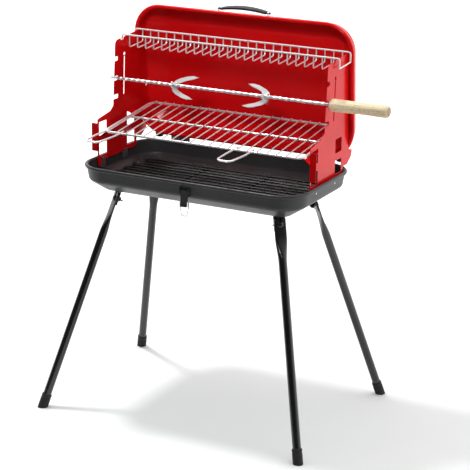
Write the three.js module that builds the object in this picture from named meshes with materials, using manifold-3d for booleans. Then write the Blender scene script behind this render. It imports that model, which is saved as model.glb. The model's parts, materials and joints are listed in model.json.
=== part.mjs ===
// Portable charcoal barbecue in a suitcase form, with a hand-turned spit.
// Millimetres, +Z up, +Y to the rear. The origin is on the floor, midway between the widest points.
import * as THREE from 'three';
import { mergeVertices } from 'three/addons/utils/BufferGeometryUtils.js';
import Module from 'manifold-3d';

const wasm = await Module();
wasm.setup();

// ---------------------------------------------------------------- driving dimensions
const CASE_X = -34;              // left of the origin, as the spit's handle sticks out on the right
const GAP = 0.3;                 // free space kept between pieces that touch

const SHELL = { width: 540, depth: 304, corner: 67, bead: 8, wall: 34, height: 61, bevel: 42, sheet: 1 };
const RIM_Z = 551;
const LID_OPEN = 85.7;           // degrees that the lid has turned back from closed
const HINGE = { x: 172, y: 148.5, z: 569.8, width: 49, barrel: 3.5, pin: 1.6, bore: 1.9 };

const PANEL = { x: 257.4, sheet: 1.2, slotInner: 21, slotHeight: 10 };
const SLOT_Z = [673, 714.5, 758];
const WINDOW = { width: 32, frontY: -62, rearY: 58, lowZ: [552, 582], highZ: [598, 629] };

const SPIT = { y: 15, z: 714.5, rod: 6, left: -280, handleStart: 266, handleEnd: 396.5, handleR: 13.5 };
const FORK = { x: 118, hub: 14, tab: 6.5, sheet: 2, sheetY: 6.4, boss: 3, screwX: 7, tilt: 35 };

const GRID = {
  frontY: -70, frontZ: 613, tilt: 6.3, halfWidth: 240, depth: 212,
  frameR: 2.7, wireR: 1.6, wires: 21,
};
const RACK = {
  frontY: 52, rearY: 110, frontZ: 805.6, rearZ: 809.6, halfWidth: 250, end: 265,
  drop: 27, wireR: 1.5, wires: 25,
};
const GRATE = { z: 510, wireR: 2, pairs: 6, pitch: 20, barX: 77 };

const LEG = {
  topX: 199, topY: 86, topZ: 481, footX: 317, footY: 220,
  tubeR: 9, wall: 1.2, flatWidth: 26, flatThick: 4, boltDown: 11,
};

// ---------------------------------------------------------------- materials
function finish(color, roughness, metalness) {
  return new THREE.MeshStandardMaterial({ color, roughness, metalness });
}
const redPaint = () => finish(0xbe0f14, 0.22, 0.1);
const blackPaint = () => finish(0x2a2a2c, 0.45, 0.2);
const chrome = () => finish(0xd8d8da, 0.15, 1);
const zinc = () => finish(0xb9bcc0, 0.35, 1);
const beech = () => finish(0xe9cf97, 0.6, 0);
const blackPlastic = () => finish(0x1b1b1d, 0.4, 0);
const rubber = () => finish(0x141414, 0.85, 0);

// ---------------------------------------------------------------- solids
const rad = THREE.MathUtils.degToRad;
const vec = (x, y, z) => new THREE.Vector3(x, y, z);

function toSolid(geometry) {
  const bare = geometry.clone();
  bare.deleteAttribute('normal');
  bare.deleteAttribute('uv');
  const merged = mergeVertices(bare, 1e-3);
  return new wasm.Manifold(new wasm.Mesh({
    numProp: 3,
    vertProperties: new Float32Array(merged.attributes.position.array),
    triVerts: new Uint32Array(merged.index.array),
  }));
}

function fromSolid(solid) {
  const mesh = solid.getMesh();
  const geometry = new THREE.BufferGeometry();
  geometry.setAttribute('position', new THREE.BufferAttribute(new Float32Array(mesh.vertProperties), 3));
  geometry.setIndex(new THREE.BufferAttribute(new Uint32Array(mesh.triVerts), 1));
  const faceted = geometry.toNonIndexed();
  faceted.computeVertexNormals();
  return faceted;
}

const join = (...pieces) => fromSolid(pieces.map(toSolid).reduce((a, b) => a.add(b)));
const cut = (piece, ...tools) => (
  fromSolid(tools.map(toSolid).reduce((a, b) => a.subtract(b), toSolid(piece))));

function box(x, y, z) {
  const size = [x, y, z].map(([a, b]) => Math.abs(b - a));
  const middle = [x, y, z].map(([a, b]) => (a + b) / 2);
  return new THREE.BoxGeometry(...size).translate(...middle);
}

// A cylinder from point a to point b.
function bar(a, b, radius, sides = 6) {
  const along = b.clone().sub(a);
  const turn = new THREE.Quaternion().setFromUnitVectors(vec(0, 1, 0), along.clone().normalize());
  const middle = a.clone().add(b).multiplyScalar(0.5);
  return new THREE.CylinderGeometry(radius, radius, along.length(), sides)
    .applyQuaternion(turn).translate(middle.x, middle.y, middle.z);
}

// A skin through rings of equal point counts, capped at its two ends unless it closes on itself.
function loft(rings, closed = false) {
  const count = rings[0].length;
  const points = rings.flat();
  const faces = [];
  const last = closed ? rings.length : rings.length - 1;
  for (let r = 0; r < last; r++) {
    const next = (r + 1) % rings.length;
    for (let i = 0; i < count; i++) {
      const j = (i + 1) % count;
      const [a, b, c, d] = [r * count + i, r * count + j, next * count + j, next * count + i];
      faces.push(a, b, c, a, c, d);
    }
  }
  if (!closed) {
    const top = (rings.length - 1) * count;
    for (let i = 1; i < count - 1; i++) {
      faces.push(0, i + 1, i);
      faces.push(top, top + i, top + i + 1);
    }
  }
  const geometry = new THREE.BufferGeometry().setFromPoints(points);
  geometry.setIndex(faces);
  const faceted = geometry.toNonIndexed();
  faceted.computeVertexNormals();
  return faceted;
}

// A round wire along points; a closed wire joins its last point to its first.
function wire(points, radius, sides = 6, closed = false) {
  const count = points.length;
  const tangents = points.map((p, i) => {
    const before = closed ? points[(i - 1 + count) % count] : points[Math.max(i - 1, 0)];
    const after = closed ? points[(i + 1) % count] : points[Math.min(i + 1, count - 1)];
    return after.clone().sub(before).normalize();
  });
  const start = Math.abs(tangents[0].z) < 0.9 ? vec(0, 0, 1) : vec(0, 1, 0);
  let side = start.cross(tangents[0]).normalize();
  const rings = points.map((p, i) => {
    side = side.clone().addScaledVector(tangents[i], -side.dot(tangents[i])).normalize();
    const up = tangents[i].clone().cross(side);
    return Array.from({ length: sides }, (_, k) => {
      const angle = (k + 0.5) / sides * 2 * Math.PI;
      const out = side.clone().multiplyScalar(Math.cos(angle)).addScaledVector(up, Math.sin(angle));
      return p.clone().addScaledVector(out, radius);
    });
  });
  return loft(rings, closed);
}

// A polyline whose corners are rounded to the given radius.
function rounded(points, radius, closed = false, steps = 4) {
  const count = points.length;
  const path = [];
  points.forEach((p, i) => {
    if (!closed && (i === 0 || i === count - 1)) {
      path.push(p);
      return;
    }
    const before = points[(i - 1 + count) % count];
    const after = points[(i + 1) % count];
    const reach = (q) => Math.min(radius, q.distanceTo(p) / 2);
    const from = p.clone().lerp(before, reach(before) / before.distanceTo(p));
    const to = p.clone().lerp(after, reach(after) / after.distanceTo(p));
    path.push(...new THREE.QuadraticBezierCurve3(from, p, to).getPoints(steps));
  });
  return path;
}

// A flat outline from [x, y, corner radius] points.
function outline(corners, steps = 3) {
  const points = [];
  corners.forEach(([x, y, r = 0], i) => {
    const here = new THREE.Vector2(x, y);
    if (!r) {
      points.push(here);
      return;
    }
    const before = new THREE.Vector2(...corners[(i - 1 + corners.length) % corners.length]);
    const after = new THREE.Vector2(...corners[(i + 1) % corners.length]);
    const half = before.clone().sub(here).angleTo(after.clone().sub(here)) / 2;
    const back = r / Math.tan(half);
    const from = here.clone().add(before.sub(here).setLength(back));
    const to = here.clone().add(after.sub(here).setLength(back));
    points.push(...new THREE.QuadraticBezierCurve(from, here, to).getPoints(steps));
  });
  return new THREE.Shape(points);
}

const AXES_YZ = new THREE.Matrix4().makeBasis(vec(0, 1, 0), vec(0, 0, 1), vec(1, 0, 0));
const AXES_XZ = new THREE.Matrix4().makeBasis(vec(1, 0, 0), vec(0, 0, 1), vec(0, -1, 0));

// A sheet whose outline is drawn in Y and Z, and which is thick in X.
function plateYZ(shape, x0, x1) {
  return new THREE.ExtrudeGeometry(shape, { depth: x1 - x0, bevelEnabled: false, curveSegments: 4 })
    .applyMatrix4(AXES_YZ).translate(x0, 0, 0);
}

// A sheet whose outline is drawn in X and Z, and which is thick in Y from y0 towards the front.
function plateXZ(shape, y0, thick) {
  return new THREE.ExtrudeGeometry(shape, { depth: thick, bevelEnabled: false, curveSegments: 4 })
    .applyMatrix4(AXES_XZ).translate(0, y0, 0);
}

// A profile of [radius, height] pairs turned about the Y axis.
function revolve(profile, sides) {
  return new THREE.LatheGeometry(profile.map(([r, h]) => new THREE.Vector2(r, h)), sides);
}

// Turns a solid that lies along Z so that it lies along X.
const alongX = (geometry) => geometry.rotateY(Math.PI / 2);

// ---------------------------------------------------------------- the assembly
const barbecue = new THREE.Group();
const base = new THREE.Group();
base.position.x = CASE_X;
barbecue.add(base);

function place(parent, name, geometry, material) {
  const mesh = new THREE.Mesh(geometry, material);
  mesh.name = name;
  parent.add(mesh);
  return mesh;
}

const SIDES = [['left', -1], ['right', 1]];
const span = (side, a, b) => (side > 0 ? [a, b] : [-b, -a]);

// ---------------------------------------------------------------- tray and lid pressings
// The rounded rectangle of the case, moved in from its rim by an inset, at height z.
function caseRing(inset, z, steps = 6) {
  const halfX = SHELL.width / 2 - SHELL.corner;
  const halfY = SHELL.depth / 2 - SHELL.corner;
  const radius = SHELL.corner - inset;
  const ring = [];
  [[1, 1], [-1, 1], [-1, -1], [1, -1]].forEach(([sx, sy], corner) => {
    for (let i = 0; i <= steps; i++) {
      const angle = (corner + i / steps) * Math.PI / 2;
      ring.push(vec(sx * halfX + radius * Math.cos(angle), sy * halfY + radius * Math.sin(angle), z));
    }
  });
  return ring;
}

// One pressing with its rim at z = 0. The profile runs up outside, over the bead and down inside.
function pressing() {
  const { bead, wall, height, bevel, sheet } = SHELL;
  const profile = [
    [bead + bevel, -height], [bead, -wall], [bead, -bead + 0.6],
    [bead * 0.6, -bead], [bead * 0.15, -bead * 0.8], [0, -bead * 0.5], [bead * 0.15, -bead * 0.15],
    [bead * 0.5, 0], [bead + sheet, -bead * 0.15],
    [bead + sheet, -wall + sheet * 0.4], [bead + bevel + sheet * 0.6, -height + sheet],
  ];
  return loft(profile.map(([inset, z]) => caseRing(inset, z)));
}

// The pressing's outer body with no bead and grown by the gap, to cut pieces that sit against it.
function pressingBlock() {
  const { bead, wall, height, bevel } = SHELL;
  const profile = [[bead + bevel, -height - GAP], [bead - GAP, -wall], [bead - GAP, 4]];
  return loft(profile.map(([inset, z]) => caseRing(inset, z)));
}

// Holes for the rivets of the panel clips.
const CLIP_Y = [['front', -46], ['rear', 48]];
const RIVET_Z = 537;
const rivetHoles = SIDES.flatMap(([, side]) => CLIP_Y.map(([, y]) => {
  const x = side * SHELL.width / 2;
  return bar(vec(x, y, RIVET_Z - RIM_Z), vec(x - side * 20, y, RIVET_Z - RIM_Z), 2.4);
}));
const tray = new THREE.Group();
tray.position.z = RIM_Z;
base.add(tray);
place(tray, 'tray_pan', cut(pressing(), ...rivetHoles), blackPaint());

// The lid group has the rim plane as its XY plane and its hinge side at local -Y.
const lid = new THREE.Group();
const closedCentre = vec(0, -HINGE.y, RIM_Z + 1 - HINGE.z);
lid.rotation.x = rad(180 - LID_OPEN);
lid.position.copy(closedCentre.applyAxisAngle(vec(1, 0, 0), -rad(LID_OPEN))).add(vec(0, HINGE.y, HINGE.z));
base.add(lid);
place(lid, 'lid_shell', pressing(), redPaint());

const WALL_Y = SHELL.depth / 2 - SHELL.bead;

// ---------------------------------------------------------------- hinges
function barrel(x0, x1, y, z) {
  const ring = new THREE.Shape().absarc(0, 0, HINGE.barrel, 0, 2 * Math.PI);
  ring.holes.push(new THREE.Path().absarc(0, 0, HINGE.bore, 0, 2 * Math.PI));
  return plateYZ(ring, x0, x1).translate(0, y, z);
}

// The hinge axis seen from the lid group.
const inLid = vec(0, HINGE.y, HINGE.z).sub(lid.position).applyAxisAngle(vec(1, 0, 0), -lid.rotation.x);

function lidLeaf(x) {
  const knuckle = 11;
  const top = -WALL_Y - GAP;
  const leaf = box([x - HINGE.width / 2, x + HINGE.width / 2], [top - 1.2, top], [inLid.z - 15, inLid.z - 4]);
  const tongue = box([x - knuckle, x + knuckle], [top - 1.2, top], [inLid.z - 6, inLid.z]);
  const bore = bar(vec(x - 20, inLid.y, inLid.z), vec(x + 20, inLid.y, inLid.z), HINGE.bore, 12);
  return cut(join(leaf, tongue, barrel(x - knuckle, x + knuckle, inLid.y, inLid.z)), bore);
}

function trayLeaf(x) {
  const halfGap = 11.4;
  const outer = SHELL.depth / 2 + 0.6;
  const wall = WALL_Y + GAP;
  const strap = outline([
    [outer, HINGE.z - 1], [outer, 542], [wall, 534], [wall, 519], [wall + 1.2, 519], [wall + 1.2, 533.4],
    [outer + 1.2, 541.4], [outer + 1.2, HINGE.z - 1],
  ]);
  const half = HINGE.width / 2;
  const bridge = [[x - half, x - halfGap], [x + halfGap, x + half]].flatMap(([x0, x1]) => [
    barrel(x0, x1, HINGE.y, HINGE.z),
    box([x0, x1], [HINGE.y + 2.4, outer + 1.2], [HINGE.z - 2.2, HINGE.z - 0.6]),
  ]);
  const bore = bar(vec(x - 40, HINGE.y, HINGE.z), vec(x + 40, HINGE.y, HINGE.z), HINGE.bore, 12);
  const slot = box([x - halfGap, x + halfGap], [outer - 9, outer + 9], [HINGE.z - 8, HINGE.z + 8]);
  return cut(join(plateYZ(strap, x - half, x + half), ...bridge), bore, slot);
}

for (const [name, side] of SIDES) {
  const x = side * HINGE.x;
  place(base, `hinge_tray_leaf_${name}`, trayLeaf(x), zinc());
  place(lid, `hinge_lid_leaf_${name}`, lidLeaf(x), zinc());
  const head = HINGE.width / 2 + GAP;
  const pin = join(
    bar(vec(x - head, HINGE.y, HINGE.z), vec(x + head, HINGE.y, HINGE.z), HINGE.pin, 10),
    bar(vec(x - head - 1.5, HINGE.y, HINGE.z), vec(x - head, HINGE.y, HINGE.z), 2.8, 10),
    bar(vec(x + head, HINGE.y, HINGE.z), vec(x + head + 1.5, HINGE.y, HINGE.z), 2.8, 10),
  );
  place(base, `hinge_pin_${name}`, pin, zinc());
}

// ---------------------------------------------------------------- lid handle, catch and standing feet
const HANDLE = { x: 60, lift: 9.5, z: -20, rise: 6, width: 20, thick: 8 };
const handleY = WALL_Y + HANDLE.lift;

function handleBracket(side) {
  const { x, z } = HANDLE;
  const [root, tip] = [WALL_Y + GAP, WALL_Y + 14];
  const foot = box(span(side, x - 2, x + 12), [root, WALL_Y + 1.8], [z - 8, z + 8]);
  const shape = outline([[root, z - 7], [tip, z - 5, 5], [tip, z + 5, 5], [root, z + 7]]);
  const ear = plateYZ(shape, ...span(side, x, x + 2));
  const hole = bar(vec(side * (x - 9), handleY, z), vec(side * (x + 19), handleY, z), 2.4, 10);
  return cut(join(foot, ear), hole);
}

function handleGrip() {
  const steps = 12;
  const reach = HANDLE.x - 3;
  const rings = Array.from({ length: steps + 1 }, (_, i) => {
    const t = i / steps * 2 - 1;
    const arch = 1 - t * t;
    const y = handleY + HANDLE.rise * arch;
    const half = [HANDLE.thick * (0.8 + 0.2 * arch) / 2, HANDLE.width * (0.8 + 0.2 * arch) / 2];
    return Array.from({ length: 10 }, (_, k) => {
      const angle = k / 10 * 2 * Math.PI;
      return vec(t * reach, y + half[0] * Math.cos(angle), HANDLE.z + half[1] * Math.sin(angle));
    });
  });
  const pins = SIDES.map(([, s]) => (
    bar(vec(s * (reach - 4), handleY, HANDLE.z), vec(s * (HANDLE.x + 5), handleY, HANDLE.z), 2, 8)));
  return join(loft(rings), ...pins);
}
place(lid, 'lid_handle', handleGrip(), blackPlastic());
for (const [name, side] of SIDES) {
  place(lid, `handle_bracket_${name}`, handleBracket(side), zinc());
}

place(lid, 'lid_catch', join(
  box([-9, 9], [WALL_Y + GAP, WALL_Y + 1.6], [-30, -11]),
  box([-7, 7], [WALL_Y + 1, WALL_Y + 3.2], [-12.4, -11]),
), zinc());

const STAND = 20;                // how far the lid's standing feet reach below its hinge wall
function standingFoot(side) {
  const stub = revolve([[0, 0], [11, 0], [11, 6], [9, STAND - 2], [7.5, STAND], [0, STAND]], 16);
  return cut(stub.rotateX(Math.PI).translate(side * 228, -WALL_Y, -24), pressingBlock());
}
for (const [name, side] of SIDES) {
  place(lid, `standing_foot_${name}`, standingFoot(side), rubber());
}

// ---------------------------------------------------------------- latch on the tray's front wall
const LATCH = { pivotY: -149.5, pivotZ: 531, x: 5 };
function latchBase() {
  const { x: middle, pivotY, pivotZ } = LATCH;
  const plate = box([middle - 13, middle + 13], [-WALL_Y - 1.6, -WALL_Y - GAP], [519, 542]);
  const ears = [-11.5, 10].map((x) => plateYZ(
    outline([[-WALL_Y - 1, 523], [-WALL_Y - 1, 539], [-WALL_Y - 9, 536, 3], [-WALL_Y - 9, 526, 3]]),
    middle + x, middle + x + 1.5,
  ));
  const hole = bar(vec(middle - 20, pivotY, pivotZ), vec(middle + 20, pivotY, pivotZ), 1.8, 10);
  return cut(join(plate, ...ears), hole);
}
place(base, 'latch_base', latchBase(), blackPaint());

function latchLever() {
  const { x, pivotY, pivotZ } = LATCH;
  const plate = box([x - 8, x + 8], [pivotY - 2.6, pivotY - 1.2], [497, pivotZ + 2]);
  const curl = box([x - 8, x + 8], [pivotY - 6, pivotY - 1.2], [497, 498.4]);
  const cheeks = [-8, 6.6].map((dx) => (
    box([x + dx, x + dx + 1.4], [pivotY - 2.6, pivotY + 2.4], [508, pivotZ + 2.4])));
  const pin = bar(vec(x - 12.6, pivotY, pivotZ), vec(x + 12.6, pivotY, pivotZ), 1.4, 8);
  const bailHole = bar(vec(x - 20, pivotY + 0.4, 513), vec(x + 20, pivotY + 0.4, 513), 1.4, 8);
  return join(cut(join(plate, curl, ...cheeks), bailHole), pin);
}
place(base, 'latch_lever', latchLever(), blackPaint());

function latchBail() {
  const { x, pivotY } = LATCH;
  const y = pivotY + 0.4;
  const path = [
    vec(x - 5, y, 513), vec(x - 10.5, y, 513), vec(x - 10, y, 495), vec(x - 6.5, y, 476),
    vec(x + 6.5, y, 476), vec(x + 10, y, 495), vec(x + 10.5, y, 513), vec(x + 5, y, 513),
  ];
  return wire(rounded(path, 2.5, false, 3), 1, 6);
}
place(base, 'latch_bail', latchBail(), zinc());

// ---------------------------------------------------------------- wind panels and their clips
function panelShape() {
  const edge = (z) => 10 * (z - 660) / 130;
  const slots = [...SLOT_Z].reverse().flatMap((z) => {
    const [low, high] = [z - PANEL.slotHeight / 2, z + PANEL.slotHeight / 2];
    return [[edge(high), high], [PANEL.slotInner, high, 4.9], [PANEL.slotInner, low, 4.9], [edge(low), low]];
  });
  // From the top front corner down the front edge, along the bottom, up the rear edge and back along the top.
  const corners = [
    [10, 799, 18], ...slots, [0, 655, 5], [-14, 645, 6], [-68, 637, 4],
    [-68, 541, 3], [-66, 530, 6], [-42, 530, 6], [-42, 541], [97, 541, 3], [100, 560, 4], [122, 560, 8],
    [144, 574, 8], [147.5, 588.5, 4], [133, 591, 2], [127.4, 598, 2], [111.5, 807.5, 4],
    [47, 802], [45.5, 796, 3], [34.5, 796, 3], [33, 801],
  ];
  const shape = outline(corners);
  for (const y of [WINDOW.frontY, WINDOW.rearY]) {
    const end = y + WINDOW.width;
    for (const [low, high] of [WINDOW.lowZ, WINDOW.highZ]) {
      const hole = outline([[y, low, 2], [end, low, 2], [end, high, 2], [y, high, 2]], 2);
      shape.holes.push(new THREE.Path(hole.getPoints()));
    }
  }
  // A thin hanging slot with a round eye at its top.
  shape.holes.push(new THREE.Path(outline([
    [42.6, 672, 2.4], [47.4, 672, 2.4], [51.4, 759], [53.5, 763], [51.4, 766.5],
    [49, 767.5], [46.6, 766.5], [44.5, 763], [46.6, 759],
  ]).getPoints()));
  return shape;
}

// A support tongue folded in from a window's edge: root height, rise per millimetre inwards, and length.
function tongue(side, y, z, slope, length) {
  const inner = PANEL.x - length;
  const rise = length * slope;
  const shape = new THREE.Shape([
    new THREE.Vector2(PANEL.x + 0.6, z - 0.6), new THREE.Vector2(PANEL.x + 0.6, z + 0.6),
    new THREE.Vector2(inner, z + rise + 0.6), new THREE.Vector2(inner, z + rise - 0.6),
  ].map((p) => new THREE.Vector2(side * p.x, p.y)));
  return plateXZ(shape, y + WINDOW.width - 2, WINDOW.width - 4);
}

function windPanel(side) {
  const sheet = plateYZ(panelShape(), ...span(side, PANEL.x, PANEL.x + PANEL.sheet));
  const flange = box(span(side, PANEL.x, PANEL.x + 15), [-69.2, -67.9], [565, 628]);
  const front = tongue(side, WINDOW.frontY, WINDOW.highZ[0] - 0.5, 0.75, 17);
  const rear = tongue(side, WINDOW.rearY, WINDOW.highZ[1] + 0.5, -0.37, 20);
  return join(sheet, flange, front, rear);
}

function panelClip(side, y) {
  const bottom = 525;
  const inner = PANEL.x - 1.4;
  const outer = PANEL.x + PANEL.sheet + 0.4;
  const outerLeaf = box(span(side, outer, outer + 1), [y - 8, y + 8], [bottom, 547]);
  const innerLeaf = box(span(side, inner, inner + 1), [y - 8, y + 8], [bottom, 547]);
  const floor = box(span(side, inner, outer + 1), [y - 8, y + 8], [bottom, bottom + 1]);
  const wallOut = SHELL.width / 2 - SHELL.bead;
  const shank = bar(vec(side * (outer + 0.5), y, RIVET_Z), vec(side * (wallOut + 1), y, RIVET_Z), 2, 8);
  const head = revolve([[0, 0], [3.6, 0], [3, 1.2], [1.6, 2], [0, 2.2]], 10)
    .rotateZ(-side * Math.PI / 2).translate(side * (wallOut + GAP), y, RIVET_Z);
  return join(outerLeaf, innerLeaf, floor, shank, head);
}

for (const [name, side] of SIDES) {
  place(base, `wind_panel_${name}`, windPanel(side), redPaint());
  for (const [where, y] of CLIP_Y) {
    place(base, `panel_clip_${where}_${name}`, panelClip(side, y), zinc());
  }
}

// ---------------------------------------------------------------- charcoal grate
function charcoalGrate() {
  const middle = (GRATE.pairs - 1) / 2;
  const loops = Array.from({ length: GRATE.pairs }, (_, i) => {
    const y = (i - middle) * 2 * GRATE.pitch;
    const outermost = i === 0 || i === GRATE.pairs - 1;
    const end = outermost ? 222 : 232;
    const half = GRATE.pitch / 2;
    const arc = (side) => Array.from({ length: 5 }, (_, k) => {
      const angle = (k / 4 - 0.5) * Math.PI;
      return vec(side * (end + half * Math.cos(angle)), y + side * half * Math.sin(angle), GRATE.z);
    });
    return wire([...arc(1), ...arc(-1)], GRATE.wireR, 4, true);
  });
  const reach = (middle * 2 + 0.5) * GRATE.pitch + 4;
  const bars = [-1, 1].map((s) => {
    const z = GRATE.z - 3.2;
    return bar(vec(s * GRATE.barX, -reach, z), vec(s * GRATE.barX, reach, z), 2, 4);
  });
  return join(...loops, ...bars);
}
place(base, 'charcoal_grate', charcoalGrate(), blackPaint());

// ---------------------------------------------------------------- cooking grid, tilted up to the rear
function handleLoop(x) {
  const path = [
    vec(x - 19, 14, 0), vec(x - 21, -30, 3), vec(x - 16, -90, 9),
    vec(x + 16, -90, 9), vec(x + 21, -30, 3), vec(x + 19, 14, 0),
  ];
  return wire(rounded(path, 15, false, 3), 2.2, 4);
}

function cookingGrid() {
  const { halfWidth, depth, frameR, wireR, wires } = GRID;
  const corner = (s, y) => vec(s * halfWidth, y, 0);
  const ring = [
    ...rounded([corner(-1, 60), corner(-1, 0), corner(1, 0), corner(1, 60)], 28),
    ...rounded([corner(1, depth - 30), corner(1, depth), corner(-1, depth), corner(-1, depth - 30)], 10),
  ];
  const frame = wire(ring, frameR, 5, true);
  const support = bar(vec(-halfWidth, depth / 2, 0), vec(halfWidth, depth / 2, 0), 2.4, 4);
  const over = frameR + wireR - 1;
  const pitch = (2 * halfWidth - 24) / (wires - 1);
  const cross = Array.from({ length: wires }, (_, i) => {
    const x = (i - (wires - 1) / 2) * pitch;
    return bar(vec(x, -2, over), vec(x, depth + 2, over), wireR, 4);
  });
  return join(frame, support, ...cross, handleLoop(-218), handleLoop(102));
}
const grid = new THREE.Group();
grid.position.set(0, GRID.frontY, GRID.frontZ);
grid.rotation.x = rad(GRID.tilt);
base.add(grid);
place(grid, 'cooking_grid', cookingGrid(), chrome());

// ---------------------------------------------------------------- warming rack hung on the panels
function warmingRack() {
  const { frontY, rearY, frontZ, rearZ, halfWidth, end, drop, wireR, wires } = RACK;
  const hanger = (x, depth, back) => [
    vec(x, frontY, frontZ), vec(x, frontY, frontZ - depth), vec(x, rearY - back, rearZ - depth),
    vec(x, rearY - back, rearZ),
  ];
  const rails = [[frontY, frontZ], [rearY, rearZ]].map(([y, z]) => (
    bar(vec(-end, y, z), vec(end, y, z), 2, 5)));
  const pitch = 2 * (halfWidth - 4) / (wires - 1);
  const ribs = Array.from({ length: wires }, (_, i) => {
    const x = (i - (wires - 1) / 2) * pitch;
    return wire(rounded(hanger(x, drop, 0), 7, false, 1), wireR, 4);
  });
  const ends = [-end, end].map((x) => wire(rounded(hanger(x, 22, 2), 4, false, 1), 1.8, 4));
  return join(...rails, ...ribs, ...ends);
}
place(base, 'warming_rack', warmingRack(), chrome());

// ---------------------------------------------------------------- spit, forks and handle
const spit = new THREE.Group();
spit.position.set(0, SPIT.y, SPIT.z);
spit.rotation.x = -rad(FORK.tilt);
base.add(spit);

function spitRod() {
  const half = SPIT.rod / 2;
  const shaft = box([SPIT.left + 12, SPIT.handleStart + 48], [-half, half], [-half, half]);
  const point = new THREE.CylinderGeometry(0.8, half * Math.SQRT2, 12.5, 4, 1)
    .rotateY(Math.PI / 4).rotateZ(Math.PI / 2).translate(SPIT.left + 6.2, 0, 0);
  const stop = bar(vec(-180, 0, 0), vec(-180, 0, -9), 1.5, 8);
  return join(shaft, point, stop);
}
place(spit, 'spit_rod', spitRod(), chrome());

function spitHandle() {
  const { handleStart, handleEnd, handleR } = SPIT;
  const bore = SPIT.rod / 2 * Math.SQRT2 + GAP;
  const length = handleEnd - handleStart;
  const profile = [
    [0, 50], [bore, 50], [bore, 0], [handleR - 2.5, 0], [handleR, 3], [handleR, 30],
    [handleR - 1.8, length - 3], [handleR - 4, length], [0, length],
  ];
  return alongX(revolve(profile, 16).rotateX(Math.PI / 2)).translate(handleStart, 0, 0);
}
place(spit, 'spit_handle', spitHandle(), beech());

function spitCollar() {
  const bore = SPIT.rod / 2 * Math.SQRT2 + GAP;
  const ring = revolve([[bore, 0], [8, 0], [8, 4], [bore, 4], [bore, 0]], 16);
  return alongX(ring.rotateX(Math.PI / 2)).translate(SPIT.handleStart - 4.4, 0, 0);
}
place(spit, 'spit_collar', spitCollar(), chrome());

// A stamped fork: a sheet behind the rod with two pointed prongs, and two tabs that the rod runs through.
// The prongs point along +X before the fork is placed.
function fork() {
  const { hub, tab, sheet, sheetY, boss, screwX } = FORK;
  const upper = [
    [hub, 6.5, 3], [19, 10, 5], [30, 15.5, 8], [46, 20.5, 8], [58, 26],
    [44, 28, 8], [30, 25.5, 8], [12, 18.5, 8], [3, 12, 4], [0, 6.5],
  ];
  const lower = [...upper].reverse().map(([x, z, r = 0]) => [x, -z, r]);
  const blade = plateXZ(outline([...upper, ...lower], 2), sheetY, sheet);
  const tabs = [0, hub - sheet].map((x) => box([x, x + sheet], [-tab, sheetY - sheet / 2], [-tab, tab]));
  const nut = bar(vec(screwX, sheetY - 0.5, 0), vec(screwX, sheetY + boss, 0), 5.5, 6);
  const bore = SPIT.rod / 2 + 0.35;
  const hole = box([-20, 40], [-bore, bore], [-bore, bore]);
  const screwHole = bar(vec(screwX, 0, 0), vec(screwX, sheetY + boss + 5, 0), 2.3, 10);
  return cut(join(blade, ...tabs, nut), hole, screwHole);
}

// The screw runs through the fork's welded nut from behind and bears on the rod.
function forkScrew() {
  const { sheetY, boss, screwX } = FORK;
  const start = sheetY + boss + GAP;
  const shank = bar(vec(screwX, SPIT.rod / 2 + GAP, 0), vec(screwX, start + 2, 0), 2, 10);
  const neck = bar(vec(screwX, start, 0), vec(screwX, start + 5, 0), 3.6, 10);
  const wings = outline([
    [3, 3], [5, 9, 2], [11, 11, 2.5], [11, 5, 2], [8, 0],
    [11, -5, 2], [11, -11, 2.5], [5, -9, 2], [3, -3],
  ]);
  return join(shank, neck, plateYZ(wings, screwX - 1, screwX + 1).translate(0, start, 0));
}

for (const [name, side] of SIDES) {
  const carrier = new THREE.Group();
  carrier.position.x = side * FORK.x;
  carrier.rotation.y = side > 0 ? Math.PI : 0;
  spit.add(carrier);
  place(carrier, `fork_${name}`, fork(), chrome());
  place(carrier, `fork_screw_${name}`, forkScrew(), zinc());
}

// ---------------------------------------------------------------- legs
// Each leg has its own frame: Z up along the tube, X along the flattened end, Y out through it.
function legFrame(sx, sy) {
  const top = vec(sx * LEG.topX, sy * LEG.topY, LEG.topZ);
  const foot = vec(sx * LEG.footX, sy * LEG.footY, 0);
  const up = top.clone().sub(foot).normalize();
  const across = vec(0, 0, 1).cross(up).normalize();
  const out = up.clone().cross(across);
  const matrix = new THREE.Matrix4().makeBasis(across, out, up).setPosition(foot);
  return { matrix, length: top.distanceTo(foot) };
}

const legLength = legFrame(1, 1).length;
const BOLT_H = legLength - LEG.boltDown;          // height of the bolt along the leg

function legTube() {
  const sides = 16;
  const ring = (a, b, z) => Array.from({ length: sides }, (_, k) => {
    const angle = (k + 0.5) / sides * 2 * Math.PI;
    return vec(a * Math.cos(angle), b * Math.sin(angle), z);
  });
  const flat = (z, taper = 1) => ring(1, 1, z).map((p) => {
    const x = Math.max(-1, Math.min(1, p.x * 1.25));
    const y = Math.max(-1, Math.min(1, p.y * 2.2));
    return vec(x * LEG.flatWidth / 2 * taper, y * LEG.flatThick / 2, z);
  });
  const bore = LEG.tubeR - LEG.wall;
  const tube = loft([
    ring(bore, bore, legLength - 95), ring(bore, bore, 8), ring(LEG.tubeR, LEG.tubeR, 8),
    ring(LEG.tubeR, LEG.tubeR, legLength - 75),
    flat(legLength - 42), flat(legLength + 1), flat(legLength + 4, 0.75),
  ]);
  const slot = box([-3.4, 3.4], [-9, 9], [BOLT_H, legLength + 9]);
  const slotEnd = bar(vec(0, -9, BOLT_H), vec(0, 9, BOLT_H), 3.4, 12);
  return cut(tube, slot, slotEnd);
}

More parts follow.
